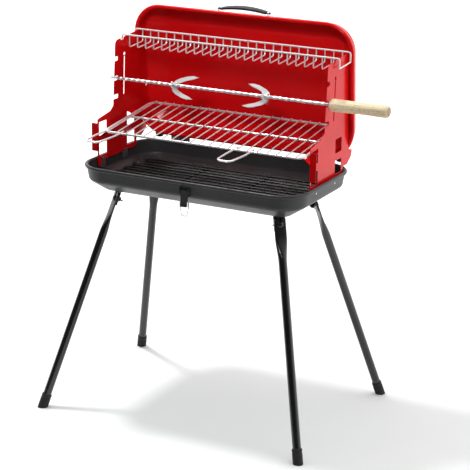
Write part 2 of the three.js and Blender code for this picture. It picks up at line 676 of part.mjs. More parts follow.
function footCap(matrix) {
  const outer = LEG.tubeR + 2.2;
  const bore = LEG.tubeR + GAP;
  const profile = [[0, -8], [outer, -8], [outer, 30], [outer - 1, 32], [bore, 32], [bore, 7.6], [0, 7.6]];
  const cup = revolve(profile, 14).rotateX(Math.PI / 2).applyMatrix4(matrix);
  const below = box([-900, 900], [-900, 900], [-60, 0]);
  return cut(cup, below).applyMatrix4(matrix.clone().invert());
}

function legBolt() {
  const half = LEG.flatThick / 2;
  const shank = bar(vec(0, -half - 11, BOLT_H), vec(0, half + 1, BOLT_H), 3, 8);
  const head = revolve([[0, 0], [7, 0], [6, 2], [3, 3.2], [0, 3.5]], 8).translate(0, half + GAP, BOLT_H);
  return join(shank, head);
}

function wingNut() {
  const start = -LEG.flatThick / 2 - 3.4;
  const hub = bar(vec(0, start, BOLT_H), vec(0, start - 6, BOLT_H), 5.5, 10);
  const wing = (s) => {
    const shape = outline([[s * 3, 0], [s * 11, -3, 2], [s * 14, -10, 2], [s * 9, -10, 2], [s * 3, -5]]);
    return new THREE.ExtrudeGeometry(shape, { depth: 2.2, bevelEnabled: false })
      .translate(0, start, BOLT_H - 1.1);
  };
  const bore = bar(vec(0, start + 5, BOLT_H), vec(0, start - 12, BOLT_H), 3.3, 8);
  return cut(join(hub, wing(1), wing(-1)), bore);
}

// A bent strap: a hanging plate with a hole for the bolt, and a level flange under the tray's floor.
function legBracket(matrix) {
  const half = LEG.flatThick / 2;
  const top = RIM_Z - SHELL.height - GAP;
  const plate = box([-13, 13], [-half - GAP - 2, -half - GAP], [BOLT_H - 13, legLength + 30]);
  const hole = bar(vec(0, -30, BOLT_H), vec(0, 30, BOLT_H), 3.3, 12);
  const hanging = cut(plate, hole).applyMatrix4(matrix);
  const above = box([-900, 900], [-900, 900], [top, top + 90]);
  const bend = vec(0, -half - GAP - 1, legLength).applyMatrix4(matrix);
  const across = vec(1, 0, 0).transformDirection(matrix);
  const inwards = vec(0, 0, 1).cross(across);
  const level = new THREE.Matrix4().makeBasis(across, inwards, vec(0, 0, 1)).setPosition(bend.x, bend.y, top);
  const run = inwards.dot(bend) < 0 ? [-6, 24] : [-24, 6];
  const flange = box([-13, 13], run, [-2, 0]).applyMatrix4(level);
  const outside = box([-40, 40], [-half - GAP, 120], [-60, 60])
    .translate(0, 0, legLength).applyMatrix4(matrix);
  return cut(join(hanging, flange), above, outside).applyMatrix4(matrix.clone().invert());
}

const ENDS = [['front', -1], ['rear', 1]];
for (const [where, sy] of ENDS) {
  for (const [name, sx] of SIDES) {
    const { matrix } = legFrame(sx, sy);
    const leg = new THREE.Group();
    leg.applyMatrix4(matrix);
    base.add(leg);
    const tag = `${where}_${name}`;
    place(leg, `leg_${tag}`, legTube(), blackPaint());
    place(leg, `foot_cap_${tag}`, footCap(matrix), rubber());
    place(leg, `leg_bracket_${tag}`, legBracket(matrix), blackPaint());
    place(leg, `leg_bolt_${tag}`, legBolt(), blackPaint());
    place(leg, `wing_nut_${tag}`, wingNut(), blackPaint());
  }
}

barbecue.updateMatrixWorld(true);
export default barbecue;
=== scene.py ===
"""Looks of a portable suitcase barbecue with a hand-turned spit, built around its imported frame.

Shapes are worked out in millimetres in the case's own axes, whose origin is on the floor under the middle
of the case, and are placed in the frame at the end. +Y is the rear, where the lid is hinged.
"""
import json
import math

import bmesh
import bpy
from mathutils import Matrix, Vector
from mathutils.geometry import tessellate_polygon


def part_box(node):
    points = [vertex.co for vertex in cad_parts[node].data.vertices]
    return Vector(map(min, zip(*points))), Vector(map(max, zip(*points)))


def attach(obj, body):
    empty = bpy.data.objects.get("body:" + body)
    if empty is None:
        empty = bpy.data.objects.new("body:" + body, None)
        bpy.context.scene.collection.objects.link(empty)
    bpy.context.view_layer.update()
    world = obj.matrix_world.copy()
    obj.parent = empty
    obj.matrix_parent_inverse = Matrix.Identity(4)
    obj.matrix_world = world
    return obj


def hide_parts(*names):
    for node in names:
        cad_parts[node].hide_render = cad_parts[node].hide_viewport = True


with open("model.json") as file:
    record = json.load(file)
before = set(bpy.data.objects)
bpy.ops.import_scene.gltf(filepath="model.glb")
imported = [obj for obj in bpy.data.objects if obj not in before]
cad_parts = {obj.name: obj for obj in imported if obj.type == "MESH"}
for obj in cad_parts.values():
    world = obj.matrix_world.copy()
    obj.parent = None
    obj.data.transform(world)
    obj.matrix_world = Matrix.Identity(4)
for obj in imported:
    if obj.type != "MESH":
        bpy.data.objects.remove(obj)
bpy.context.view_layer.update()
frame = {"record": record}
record = frame["record"]
BODY_OF = {node: body for body, nodes in record["behaviour"]["bodies"].items() for node in nodes}
SLOT_OF = {part["node"]: part["material_slot"] for part in record["subparts"]}

MM = 0.001
PAN_LOW, PAN_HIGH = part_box("tray_pan")
CASE_X = (PAN_LOW.x + PAN_HIGH.x) / 2 / MM  # the middle of the case
WIDTH = (PAN_HIGH.x - PAN_LOW.x) / MM
DEPTH = (PAN_HIGH.y - PAN_LOW.y) / MM
RIM_Z = PAN_HIGH.z / MM
SHELL_HEIGHT = (PAN_HIGH.z - PAN_LOW.z) / MM
CORNER = 67
BEAD = 8
WALL = 34
BEVEL = 42
FLOOR_INSET = 61  # where the flat floor of a pressing begins
SHEET = 1.0
GAP = 0.3
WALL_Y = DEPTH / 2 - BEAD

HINGE_X, HINGE_Y, HINGE_Z = 172, 148.5, 569.8
LID_OPEN = math.radians(85.7)
SPIT_Y, SPIT_Z = 15, 714.5
SPIT_TILT = math.radians(-35)
PANEL_X = 257.4
PANEL_SHEET = 1.2
WELD = 0.001
X_AXIS = (1, 0, 0)
BLACK, WHITE = (0, 0, 0), (1, 1, 1)
SIDES = (("left", -1), ("right", 1))
ENDS = (("front", -1), ("rear", 1))


# ---- materials
class Nodes:
    """A material's node tree, with short ways to add what every finish here needs."""

    def __init__(self, name, **sockets):
        self.material = bpy.data.materials.new(name)
        self.material.use_nodes = True
        self.tree = self.material.node_tree
        self.shader = self.tree.nodes["Principled BSDF"]
        for socket, value in sockets.items():
            self.shader.inputs[socket.replace("_", " ")].default_value = value

    def add(self, kind, inputs=None, **settings):
        node = self.tree.nodes.new(kind)
        for key, value in settings.items():
            setattr(node, key, value)
        for socket, value in (inputs or {}).items():
            if isinstance(value, bpy.types.NodeSocket):
                self.tree.links.new(value, node.inputs[socket])
            else:
                node.inputs[socket].default_value = value
        return node

    def place(self, stretch=(1, 1, 1)):
        """Object coordinates in metres, stretched along each axis."""
        coordinates = self.add("ShaderNodeTexCoord").outputs["Object"]
        return self.add("ShaderNodeMapping", {"Vector": coordinates, "Scale": stretch}).outputs["Vector"]

    def noise(self, where, scale, detail=3.0, roughness=0.5):
        return self.add("ShaderNodeTexNoise", {
            "Vector": where, "Scale": scale, "Detail": detail, "Roughness": roughness}).outputs["Fac"]

    def ramp(self, value, *stops):
        node = self.add("ShaderNodeValToRGB", {"Fac": value})
        elements = node.color_ramp.elements
        while len(elements) < len(stops):
            elements.new(0.5)
        for element, (position, colour) in zip(elements, stops):
            element.position = position
            element.color = (*colour, 1) if len(colour) == 3 else colour
        return node.outputs["Color"]

    def between(self, value, low, high, start=0.0, end=1.0):
        """Maps a value that runs from start to end onto low to high."""
        return self.add("ShaderNodeMapRange", {
            "Value": value, "From Min": start, "From Max": end,
            "To Min": low, "To Max": high}).outputs["Result"]

    def mix(self, factor, a, b):
        node = self.add("ShaderNodeMix", data_type="RGBA")
        for index, value in ((0, factor), (6, a), (7, b)):
            if isinstance(value, bpy.types.NodeSocket):
                self.tree.links.new(value, node.inputs[index])
            else:
                node.inputs[index].default_value = value if index == 0 else (*value, 1)
        return node.outputs[2]

    def bump(self, height, strength, distance):
        return self.add("ShaderNodeBump", {
            "Height": height, "Strength": strength, "Distance": distance}).outputs["Normal"]

    def link(self, **sockets):
        for socket, value in sockets.items():
            self.tree.links.new(value, self.shader.inputs[socket.replace("_", " ")])
        return self.material


def enamel_material(name, deep, bright, roughness, shine, peel):
    """Baked enamel on sheet steel: slow colour drift, orange peel, a few dull patches."""
    n = Nodes(name, Metallic=0.0, Specular_IOR_Level=shine)
    where = n.place()
    drift = n.noise(where, 9, 2)
    colour = n.ramp(drift, (0.3, deep), (0.7, bright))
    patches = n.noise(where, 38, 4, 0.6)
    fine = n.noise(where, 700, 2)
    height = n.add("ShaderNodeMath", {0: n.noise(where, 260, 2), 1: n.between(fine, 0, 0.35)}).outputs[0]
    return n.link(
        Base_Color=colour, Roughness=n.between(patches, *roughness), Normal=n.bump(height, peel, 0.0004))


def chrome_material(name, colour, roughness, tint, metallic):
    """Bright plated steel: faint clouding of the plate, and a warmer tint in patches."""
    n = Nodes(name, Metallic=metallic)
    where = n.place()
    cloud = n.noise(where, 60, 4, 0.6)
    stain = n.ramp(n.noise(where, 14, 3), (0.45, BLACK), (0.75, WHITE))
    base = n.mix(stain, colour, tint)
    fine = n.noise(where, 1500, 2)
    return n.link(
        Base_Color=base, Roughness=n.between(cloud, *roughness), Normal=n.bump(fine, 0.05, 0.0001))


def zinc_material():
    """Passivated zinc plate: a spangled, slightly blue grey with soft tool marks."""
    n = Nodes("zinc_plate", Metallic=1.0)
    where = n.place()
    cells = n.add("ShaderNodeTexVoronoi", {"Vector": where, "Scale": 420.0}).outputs["Color"]
    grey = n.add("ShaderNodeRGBToBW", {"Color": cells}).outputs["Val"]
    colour = n.ramp(grey, (0.0, (0.66, 0.67, 0.69)), (1.0, (0.88, 0.89, 0.90)))
    marks = n.noise(n.place((1, 1, 30)), 60, 3)
    return n.link(
        Base_Color=colour, Roughness=n.between(marks, 0.22, 0.42), Normal=n.bump(marks, 0.08, 0.0002))


def beech_material():
    """Sanded beech turned along X: growth rings as long streaks, short dark flecks, and a darker end-grain
    tone on the end face that points along +X only, which is painted shade.
    """
    n = Nodes("beech", Metallic=0.0, Specular_IOR_Level=0.35)
    along = n.place((0.08, 1, 1))
    rings = n.add("ShaderNodeTexWave", {
        "Vector": along, "Scale": 60.0, "Distortion": 7.0, "Detail": 3.0, "Detail Scale": 1.6},
        bands_direction="Z").outputs["Fac"]
    streaks = n.noise(n.place((0.03, 1, 1)), 420, 4, 0.6)
    base = n.ramp(rings, (0.0, (0.84, 0.66, 0.40)), (0.45, (0.93, 0.80, 0.54)), (1.0, (0.95, 0.86, 0.62)))
    veined = n.mix(n.between(streaks, 0.0, 0.40), base, (0.74, 0.54, 0.29))
    flecks = n.ramp(n.noise(n.place((0.12, 1, 1)), 900, 1), (0.62, BLACK), (0.70, WHITE))
    speckled = n.mix(flecks, veined, (0.42, 0.26, 0.12))
    # painted shade: only the end face that points along +X is mixed towards the dark brown, a darker
    # end-grain tone painted on that shaded end alone
    normal = n.add("ShaderNodeNewGeometry").outputs["Normal"]
    facing = n.add("ShaderNodeSeparateXYZ", {"Vector": normal}).outputs["X"]
    end = n.between(facing, 0, 0.8, 0.75, 0.97)
    colour = n.mix(end, speckled, (0.34, 0.23, 0.12))
    return n.link(
        Base_Color=colour, Roughness=n.between(streaks, 0.45, 0.65), Normal=n.bump(streaks, 0.25, 0.0003))


def moulded_material(name, colour, roughness, grain, shine):
    """Moulded plastic or rubber: a fine spark-eroded grain and faint scuffs."""
    n = Nodes(name, Metallic=0.0, Specular_IOR_Level=shine)
    scuffs = n.noise(n.place((1, 6, 1)), 90, 4, 0.65)
    lighter = tuple(min(1, c * 2.2 + 0.02) for c in colour)
    base = n.mix(n.ramp(scuffs, (0.62, BLACK), (0.8, (0.5, 0.5, 0.5))), colour, lighter)
    fine = n.noise(n.place(), 1400, 2)
    return n.link(
        Base_Color=base, Roughness=n.between(scuffs, *roughness), Normal=n.bump(fine, grain, 0.0002))


ENAMELS = {  # deep colour, bright colour, roughness, shine, peel
    "red_enamel": ((0.65, 0.004, 0.006), (0.75, 0.006, 0.008), (0.14, 0.24), 0.16, 0.10),
    # black_enamel is set lighter than the black enamel is: partly its own colour, partly painted light
    # standing in for light the tray floor reflects
    "black_enamel": ((0.034, 0.034, 0.036), (0.048, 0.048, 0.050), (0.30, 0.46), 0.30, 0.22),
    # painted shade: a darker copy of black_enamel, so the grate's bars read darker than the tray floor around
    # them
    "grate_enamel": ((0.006, 0.006, 0.007), (0.010, 0.010, 0.011), (0.34, 0.50), 0.30, 0.22),
    "leg_enamel": ((0.008, 0.008, 0.009), (0.013, 0.013, 0.014), (0.14, 0.26), 0.70, 0.20),
}
CHROMES = {  # colour, roughness, tint, metallic
    "chrome_wire": ((0.95, 0.95, 0.96), (0.22, 0.36), (0.86, 0.84, 0.81), 0.5),
    "chrome_steel": ((0.93, 0.93, 0.94), (0.24, 0.40), (0.78, 0.77, 0.75), 0.8),
}
MOULDINGS = {  # colour, roughness, grain, shine
    "black_plastic": ((0.012, 0.012, 0.014), (0.34, 0.52), 0.25, 0.22),
    "black_rubber": ((0.016, 0.016, 0.016), (0.6, 0.85), 0.4, 0.4),
}
MATERIALS = {"zinc_plate": zinc_material(), "beech": beech_material()}
for make, looks in ((enamel_material, ENAMELS), (chrome_material, CHROMES), (moulded_material, MOULDINGS)):
    for name, look in looks.items():
        MATERIALS[name] = make(name, *look)


# ---- shapes: each is (points, faces)
def vec(x, y, z):
    return Vector((x, y, z))


def loft(rings, closed=False):
    """A skin through rings of equal point counts, capped at both ends unless it closes on itself."""
    count = len(rings[0])
    points = [p for ring in rings for p in ring]
    faces = []
    for r in range(len(rings) if closed else len(rings) - 1):
        after = (r + 1) % len(rings)
        for i in range(count):
            j = (i + 1) % count
            faces.append((r * count + i, r * count + j, after * count + j, after * count + i))
    if not closed:
        top = (len(rings) - 1) * count
        faces.append(tuple(reversed(range(count))))
        faces.append(tuple(range(top, top + count)))
    return points, faces


def moved(shape, matrix):
    points, faces = shape
    return [matrix @ p for p in points], faces


def shifted(shape, x=0, y=0, z=0):
    return moved(shape, Matrix.Translation((x, y, z)))


def joined(*shapes):
    points, faces = [], []
    for some_points, some_faces in shapes:
        start = len(points)
        points.extend(some_points)
        faces.extend(tuple(start + i for i in face) for face in some_faces)
    return points, faces


def bent(start, corner, end, steps):
    """Points along the soft curve that replaces a corner."""
    shares = [k / steps for k in range(steps + 1)]
    return [start * (1 - t) ** 2 + corner * 2 * t * (1 - t) + end * t ** 2 for t in shares]


def rounded(points, radius, steps=6, closed=False):
    """A polyline whose corners are rounded, in two or three dimensions."""
    path = []
    count = len(points)
    for i, p in enumerate(points):
        if not closed and i in (0, count - 1):
            path.append(p)
            continue
        before, after = points[i - 1], points[(i + 1) % count]
        start, end = (p + (q - p).normalized() * min(radius, (q - p).length / 2) for q in (before, after))
        path += bent(start, p, end, steps)
    return path


def swept(points, section, closed=False):
    """A section of (side, up) pairs, or a function of the share run, carried along points untwisted."""
    count = len(points)
    side = None
    rings = []
    for i, p in enumerate(points):
        before = points[i - 1] if closed or i else p
        after = points[(i + 1) % count] if closed or i < count - 1 else p
        along = (after - before).normalized()
        if side is None:
            side = along.cross(vec(0, 0, 1) if abs(along.z) < 0.9 else vec(0, 1, 0))
        side = (side - along * side.dot(along)).normalized()
        up = along.cross(side)
        here = section(i / (count - 1)) if callable(section) else section
        rings.append([p + side * a + up * b for a, b in here])
    return loft(rings, closed)


def circle(radius, sides=12):
    angles = [math.tau * k / sides for k in range(sides)]
    return [(radius * math.cos(a), radius * math.sin(a)) for a in angles]


def wire(points, radius, closed=False, sides=10):
    """Round wire whose open ends are slightly rounded over."""
    ring = circle(radius, sides)
    if closed:
        return swept(points, ring, closed)
    small = [(a * 0.6, b * 0.6) for a, b in ring]
    first, last = points[0], points[-1]
    out = (first - points[1]).normalized() * radius * 0.4, (last - points[-2]).normalized() * radius * 0.4
    return swept([first + out[0], *points, last + out[1]], lambda share: small if share in (0, 1) else ring)


def rod(a, b, radius, sides=16):
    """A straight round bar with slightly rounded ends."""
    return wire([a, b], radius, sides=sides)


def lathe(profile, matrix, sides=28):
    """A profile of (radius, height) pairs turned about Z, from axis to axis or closed on itself."""
    points, faces = [], []
    rows = []
    for radius, height in profile:
        if radius < 1e-6:
            rows.append([len(points)] * sides)
            points.append(vec(0, 0, height))
        else:
            rows.append(list(range(len(points), len(points) + sides)))
            points.extend(vec(x, y, height) for x, y in circle(radius, sides))
    for low, high in zip(rows, rows[1:]):
        for k in range(sides):
            face = (low[k], low[(k + 1) % sides], high[(k + 1) % sides], high[k])
            unique = tuple(dict.fromkeys(face))
            if len(unique) > 2:
                faces.append(unique)
    return moved((points, faces), matrix)


def frame_of(origin, x_axis, y_axis):
    """A matrix with the given origin, X and Y axes."""
    x_axis, y_axis = Vector(x_axis).normalized(), Vector(y_axis).normalized()
    z_axis = x_axis.cross(y_axis)
    return Matrix.Translation(origin) @ Matrix((x_axis, y_axis, z_axis)).transposed().to_4x4()


def axis_frame(origin, along):
    """A matrix whose Z axis lies along a direction."""
    along = Vector(along).normalized()
    return Matrix.Translation(origin) @ along.to_track_quat("Z", "Y").to_matrix().to_4x4()


def corner_outline(corners, steps=5):
    """A flat outline from (x, y, radius) corners."""
    path = []
    count = len(corners)
    for i, (x, y, *rest) in enumerate(corners):
        here = Vector((x, y))
        if not rest or not rest[0]:
            path.append(here)
            continue
        before = Vector(corners[i - 1][:2]) - here
        after = Vector(corners[(i + 1) % count][:2]) - here
        back = min(rest[0] / math.tan(before.angle(after) / 2), before.length * 0.49, after.length * 0.49)
        path += bent(here + before.normalized() * back, here, here + after.normalized() * back, steps)
    return path


def rectangle(low_x, low_y, high_x, high_y, radius, steps=5):
    corners = (low_x, low_y), (high_x, low_y), (high_x, high_y), (low_x, high_y)
    return corner_outline([(x, y, radius) for x, y in corners], steps)


def eye(x, y, radius, sides):
    """The outline of a round hole in a sheet."""
    return [Vector((x + a, y + b)) for a, b in circle(radius, sides)]


def inset(loop, distance):
    """A flat loop moved to its own left by a distance."""
    moved_loop = []
    for i, p in enumerate(loop):
        before, after = (p - loop[i - 1]).normalized(), (loop[(i + 1) % len(loop)] - p).normalized()
        left = Vector((-before.y - after.y, before.x + after.x)).normalized()
        lean = max(0.5, left.dot(Vector((-after.y, after.x))))
        moved_loop.append(p + left * (distance / lean))
    return moved_loop


def area(loop):
    return sum(a.x * b.y - b.x * a.y for a, b in zip(loop, [*loop[1:], loop[0]])) / 2


def tidied(loop, spacing=0.02):
    """A loop without points that lie on each other."""
    return [p for i, p in enumerate(loop) if (p - loop[i - 1]).length > spacing]


def plate(outline, thickness, matrix, holes=(), edge=0.25):
    """Sheet cut to an outline in its own XY plane, from z = 0 to its thickness, with eased edges."""
    loops = [tidied(loop) for loop in (outline, *holes)]
    loops = [loop if (area(loop) > 0) == (i == 0) else loop[::-1] for i, loop in enumerate(loops)]
    points, faces, rims = [], [], ([], [])
    for loop in loops:
        count, start = len(loop), len(points)
        small = inset(loop, edge)
        for flat, z in ((small, 0), (loop, edge), (loop, thickness - edge), (small, thickness)):
            points += [vec(p.x, p.y, z) for p in flat]
        for row in range(3):
            for i in range(count):
                a, b = start + row * count + i, start + row * count + (i + 1) % count
                faces.append((a, b, b + count, a + count))
        rims[0].extend(range(start, start + count))
        rims[1].extend(range(start + 3 * count, start + 4 * count))
    triangles = tessellate_polygon([[vec(p.x, p.y, 0) for p in inset(loop, edge)] for loop in loops])
    for rim in rims:
        faces += [tuple(rim[k] for k in triangle) for triangle in triangles]
    return moved((points, faces), matrix)


def strip(points, width, thickness, matrix, bend=1.2):
    """Strip metal bent along points in its own XY plane, and width wide along Z."""
    path = rounded([vec(x, y, 0) for x, y in points], bend, 5)
    edge = min(0.25, thickness / 3)
    half, t = width / 2, thickness / 2
    lower = [(-t, -half + edge), (-t + edge, -half), (t - edge, -half), (t, -half + edge)]
    section = lower + [(-a, -b) for a, b in lower]
    rings = []
    for i, p in enumerate(path):
        along = (path[min(i + 1, len(path) - 1)] - path[max(i - 1, 0)]).normalized()
        side = along.cross(vec(0, 0, 1))
        rings.append([p + side * a + vec(0, 0, b) for a, b in section])
    return moved(loft(rings), matrix)


def block(low, high, edge):
    """A solid block between two corners, with bevelled edges."""
    mesh = bmesh.new()
    bmesh.ops.create_cube(mesh, size=1)
    size = Vector(high) - Vector(low)
    middle = (Vector(high) + Vector(low)) / 2
    for v in mesh.verts:
        v.co = Vector(v.co[k] * size[k] for k in range(3)) + middle
    bmesh.ops.bevel(mesh, geom=list(mesh.edges), offset=edge, segments=1, profile=0.5, affect="EDGES")
    mesh.verts.index_update()
    shape = [v.co.copy() for v in mesh.verts], [tuple(v.index for v in f.verts) for f in mesh.faces]
    mesh.free()
    return shape


def clean(mesh, distance):
    """Joins points that meet and turns every face outwards."""
    tidy = bmesh.new()
    tidy.from_mesh(mesh)
    bmesh.ops.remove_doubles(tidy, verts=tidy.verts, dist=distance)
    bmesh.ops.recalc_face_normals(tidy, faces=tidy.faces)
    tidy.to_mesh(mesh)
    tidy.free()


def cut(shape, *tools):
    """A closed shape with other closed shapes taken out of it."""
    things = []
    for points, faces in (shape, *tools):
        mesh = bpy.data.meshes.new("cut")
        mesh.from_pydata(points, [], faces)
        clean(mesh, WELD)
        thing = bpy.data.objects.new("cut", mesh)
        bpy.context.scene.collection.objects.link(thing)
        things.append(thing)
    for tool in things[1:]:
        modifier = things[0].modifiers.new("cut", "BOOLEAN")
        modifier.operation = "DIFFERENCE"
        modifier.object = tool
    whole = things[0].evaluated_get(bpy.context.evaluated_depsgraph_get())
    mesh = bpy.data.meshes.new_from_object(whole)
    result = [v.co.copy() for v in mesh.vertices], [tuple(f.vertices) for f in mesh.polygons]
    bpy.data.meshes.remove(mesh)
    for thing in things:
        bpy.data.meshes.remove(thing.data)
    return result


def piece(name, shape, *nodes, sharp=32, finish=None):
    """Puts a finished shape in the frame for CAD nodes, on their body and with their material slot."""
    points, faces = shape
    mesh = bpy.data.meshes.new(name)
    mesh.from_pydata([vec(p.x + CASE_X, p.y, p.z) * MM for p in points], [], faces)
    clean(mesh, WELD * MM)
    mesh.shade_smooth()
    mesh.set_sharp_from_angle(angle=math.radians(sharp))
    mesh.materials.append(MATERIALS[finish or SLOT_OF[nodes[0]]])
    thing = bpy.data.objects.new(name, mesh)
    bpy.context.scene.collection.objects.link(thing)
    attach(thing, BODY_OF[nodes[0]])
    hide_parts(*nodes)


# ---- tray and lid
def case_ring(inward, z, steps=14):
    """The case's outline moved inward, at height z."""
    half_x, half_y = WIDTH / 2 - CORNER, DEPTH / 2 - CORNER
    radius = CORNER - inward
    ring = []
    for corner, (sx, sy) in enumerate(((1, 1), (-1, 1), (-1, -1), (1, -1))):
        for i in range(steps + 1):
            angle = (corner + i / steps) * math.pi / 2
            x, y = sx * half_x + radius * math.cos(angle), sy * half_y + radius * math.sin(angle)
            ring.append(vec(x, y, z))
    return ring


def pressing():
    """The case pressing with its rim at z = 0: up the outside, round the bead, and down inside."""
    outside = [vec(inward, z, 0) for inward, z in (
        (FLOOR_INSET, -SHELL_HEIGHT), (BEAD + BEVEL, -SHELL_HEIGHT), (BEAD, -WALL), (BEAD, -BEAD))]
    inside = [vec(inward, z, 0) for inward, z in (
        (BEAD + SHEET, -BEAD / 2), (BEAD + SHEET, -WALL + SHEET * 0.4),
        (BEAD + BEVEL + SHEET * 0.6, -SHELL_HEIGHT + SHEET), (FLOOR_INSET, -SHELL_HEIGHT + SHEET))]
    half = BEAD / 2
    angles = [math.radians(-80 - k * 22) for k in range(14)]
    bead = [vec(half + half * math.cos(a), -half + half * math.sin(a), 0) for a in angles]
    profile = rounded(outside, 7, 5)[:-1] + bead + rounded(inside, 6, 5)
    return loft([case_ring(p.x, p.y) for p in profile])


def lid_matrix():
    hinge = vec(0, HINGE_Y, HINGE_Z)
    shut = Matrix.Translation((0, 0, RIM_Z + 1)) @ Matrix.Rotation(math.pi, 4, "X")
    turn = Matrix.Translation(hinge) @ Matrix.Rotation(-LID_OPEN, 4, "X") @ Matrix.Translation(-hinge)
    return turn @ shut


def pressing_block():
    """The outside of a pressing as a solid, to cut what sits against it."""
    rows = ((BEAD + BEVEL, -SHELL_HEIGHT - GAP), (BEAD - GAP, -WALL), (BEAD - GAP, 4))
    return loft([case_ring(inward, z) for inward, z in rows])


LID = lid_matrix()
HINGE_IN_LID = LID.inverted() @ vec(0, HINGE_Y, HINGE_Z)
LID_BACK = -WALL_Y - GAP  # the lid's hinge wall, in the lid's own axes
LID_FRONT = WALL_Y + GAP  # the lid's handle wall


def tray_and_lid():
    piece("tray", shifted(pressing(), z=RIM_Z), "tray_pan")
    piece("lid", moved(pressing(), LID), "lid_shell")


def dome(origin, along, radius, height):
    """A rivet or bolt head that stands on a point and bulges along a direction."""
    edge = height * 0.15
    profile = [(0, 0), (radius, 0), (radius, edge)]
    for k in range(1, 6):
        angle = math.radians(k * 15)
        profile.append((radius * math.cos(angle), edge + (height - edge) * math.sin(angle)))
    return lathe([*profile, (0, height)], axis_frame(origin, along), 20)


def tube(origin, along, inner, outer, length):
    """A tube centred on a point."""
    half, edge = length / 2, 0.3
    profile = [(inner, -half), (outer - edge, -half), (outer, -half + edge), (outer, half - edge)]
    profile += [(outer - edge, half), (inner, half), (inner, -half)]
    return lathe(profile, axis_frame(origin, along))


def in_yz(x):
    """For sheets drawn in Y and Z and thick in +X from x."""
    return frame_of((x, 0, 0), (0, 1, 0), (0, 0, 1))


def in_xz(y):
    """For sheets drawn in X and Z and thick in -Y from y."""
    return frame_of((0, y, 0), (1, 0, 0), (0, 0, 1))


# ---- hinges
LEAF_WIDTH = 49
KNUCKLE = 22
BARREL, BORE, PIN = 3.5, 1.9, 1.6
LEAF_SHEET = 1.2
KNUCKLE_ROOM = 22.8  # between the tray leaf's two knuckles
LEAF_RIVET, LEAF_DOME = 2.6, 1.4


def lid_leaf(x):
    half, knuckle, top = LEAF_WIDTH / 2, KNUCKLE / 2, HINGE_IN_LID.z
    low, high = top - 15, top - 4
    shape = corner_outline([
        (x - half, low, 3), (x + half, low, 3), (x + half, high, 2), (x + knuckle, high, 1.5),
        (x + knuckle, top), (x - knuckle, top), (x - knuckle, high, 1.5), (x - half, high, 2)])
    leaf = plate(shape, LEAF_SHEET, in_xz(LID_BACK))
    barrel = tube((x, HINGE_IN_LID.y, top), X_AXIS, BORE, BARREL, KNUCKLE)
    face, row = LID_BACK - LEAF_SHEET, low + 5.5
    heads = [dome((x + dx, face, row), (0, -1, 0), LEAF_RIVET, LEAF_DOME) for dx in (-17, 0, 17)]
    return joined(leaf, barrel, *heads)


def tray_leaf(x):
    """A leaf down the tray's wall that cranks out round the rim to two knuckles."""
    outer, wall = DEPTH / 2 + 1.2, WALL_Y + GAP + LEAF_SHEET / 2
    low, crank_low, crank_high, top = 519, 533.7, 541.7, HINGE_Z - 8.6
    path = [(outer, top), (outer, crank_high), (wall, crank_low), (wall, low)]
    parts = [strip(path, LEAF_WIDTH, LEAF_SHEET, in_yz(x), 3)]
    ear_width = (LEAF_WIDTH - KNUCKLE_ROOM) / 2
    for side in (-1, 1):
        middle = x + side * (KNUCKLE_ROOM + ear_width) / 2
        ear = strip([(outer, HINGE_Z - 0.5), (outer, top - 2)], ear_width, LEAF_SHEET, in_yz(middle))
        parts += [ear, tube((middle, HINGE_Y, HINGE_Z), X_AXIS, BORE, BARREL, ear_width)]
        rivet = (x + side * 15, WALL_Y + GAP + LEAF_SHEET, low + 7)
        parts.append(dome(rivet, (0, 1, 0), LEAF_RIVET, LEAF_DOME))
    return joined(*parts)


def hinges():
    head = LEAF_WIDTH / 2 + GAP
    for name, side in SIDES:
        x = side * HINGE_X
        piece(f"hinge_lid_side_{name}", moved(lid_leaf(x), LID), f"hinge_lid_leaf_{name}")
        piece(f"hinge_tray_side_{name}", tray_leaf(x), f"hinge_tray_leaf_{name}")
        ends = [vec(x + s * head, HINGE_Y, HINGE_Z) for s in (-1, 1)]
        heads = [dome(end, (s, 0, 0), 2.8, 1.5) for end, s in zip(ends, (-1, 1))]
        piece(f"hinge_rod_{name}", joined(rod(*ends, PIN), *heads), f"hinge_pin_{name}")


# ---- lid handle, catch and standing feet
HANDLE_X, HANDLE_Z = 60, -20
HANDLE_Y = WALL_Y + 9.5
HANDLE_RISE, HANDLE_WIDTH, HANDLE_THICK = 6, 20, 8
HANDLE_FILL = 0.94  # the share of HANDLE_THICK that the grip fills
STAND_X, STAND_Z, STAND_RISE, STAND_R = 228, -24, 20, 11


def handle_bracket(side):
    near, far, half = side * (HANDLE_X - 2), side * (HANDLE_X + 12), 8
    sheet, rivet_x, tip = 1.5, side * (HANDLE_X + 7), WALL_Y + 14
    foot = plate(corner_outline([
        (near, HANDLE_Z - half, 1.5), (far, HANDLE_Z - half, 4), (far, HANDLE_Z + half, 4),
        (near, HANDLE_Z + half, 1.5)]), sheet, in_xz(LID_FRONT + sheet))
    outline = corner_outline([
        (LID_FRONT, HANDLE_Z - 7), (tip, HANDLE_Z - 5.5, 5), (tip, HANDLE_Z + 5.5, 5),
        (LID_FRONT, HANDLE_Z + 7)])
    at = HANDLE_X if side > 0 else -HANDLE_X - 2
    ear = plate(outline, 2, in_yz(at), [eye(HANDLE_Y, HANDLE_Z, 2.4, 16)])
    outside = dome((rivet_x, LID_FRONT + sheet, HANDLE_Z), (0, 1, 0), 3.2, 1.8)
    inside = dome((rivet_x, WALL_Y - SHEET, HANDLE_Z), (0, -1, 0), 3.6, 1.8)
    return joined(foot, ear, outside, inside)


def power(value, exponent):
    return math.copysign(abs(value) ** exponent, value)


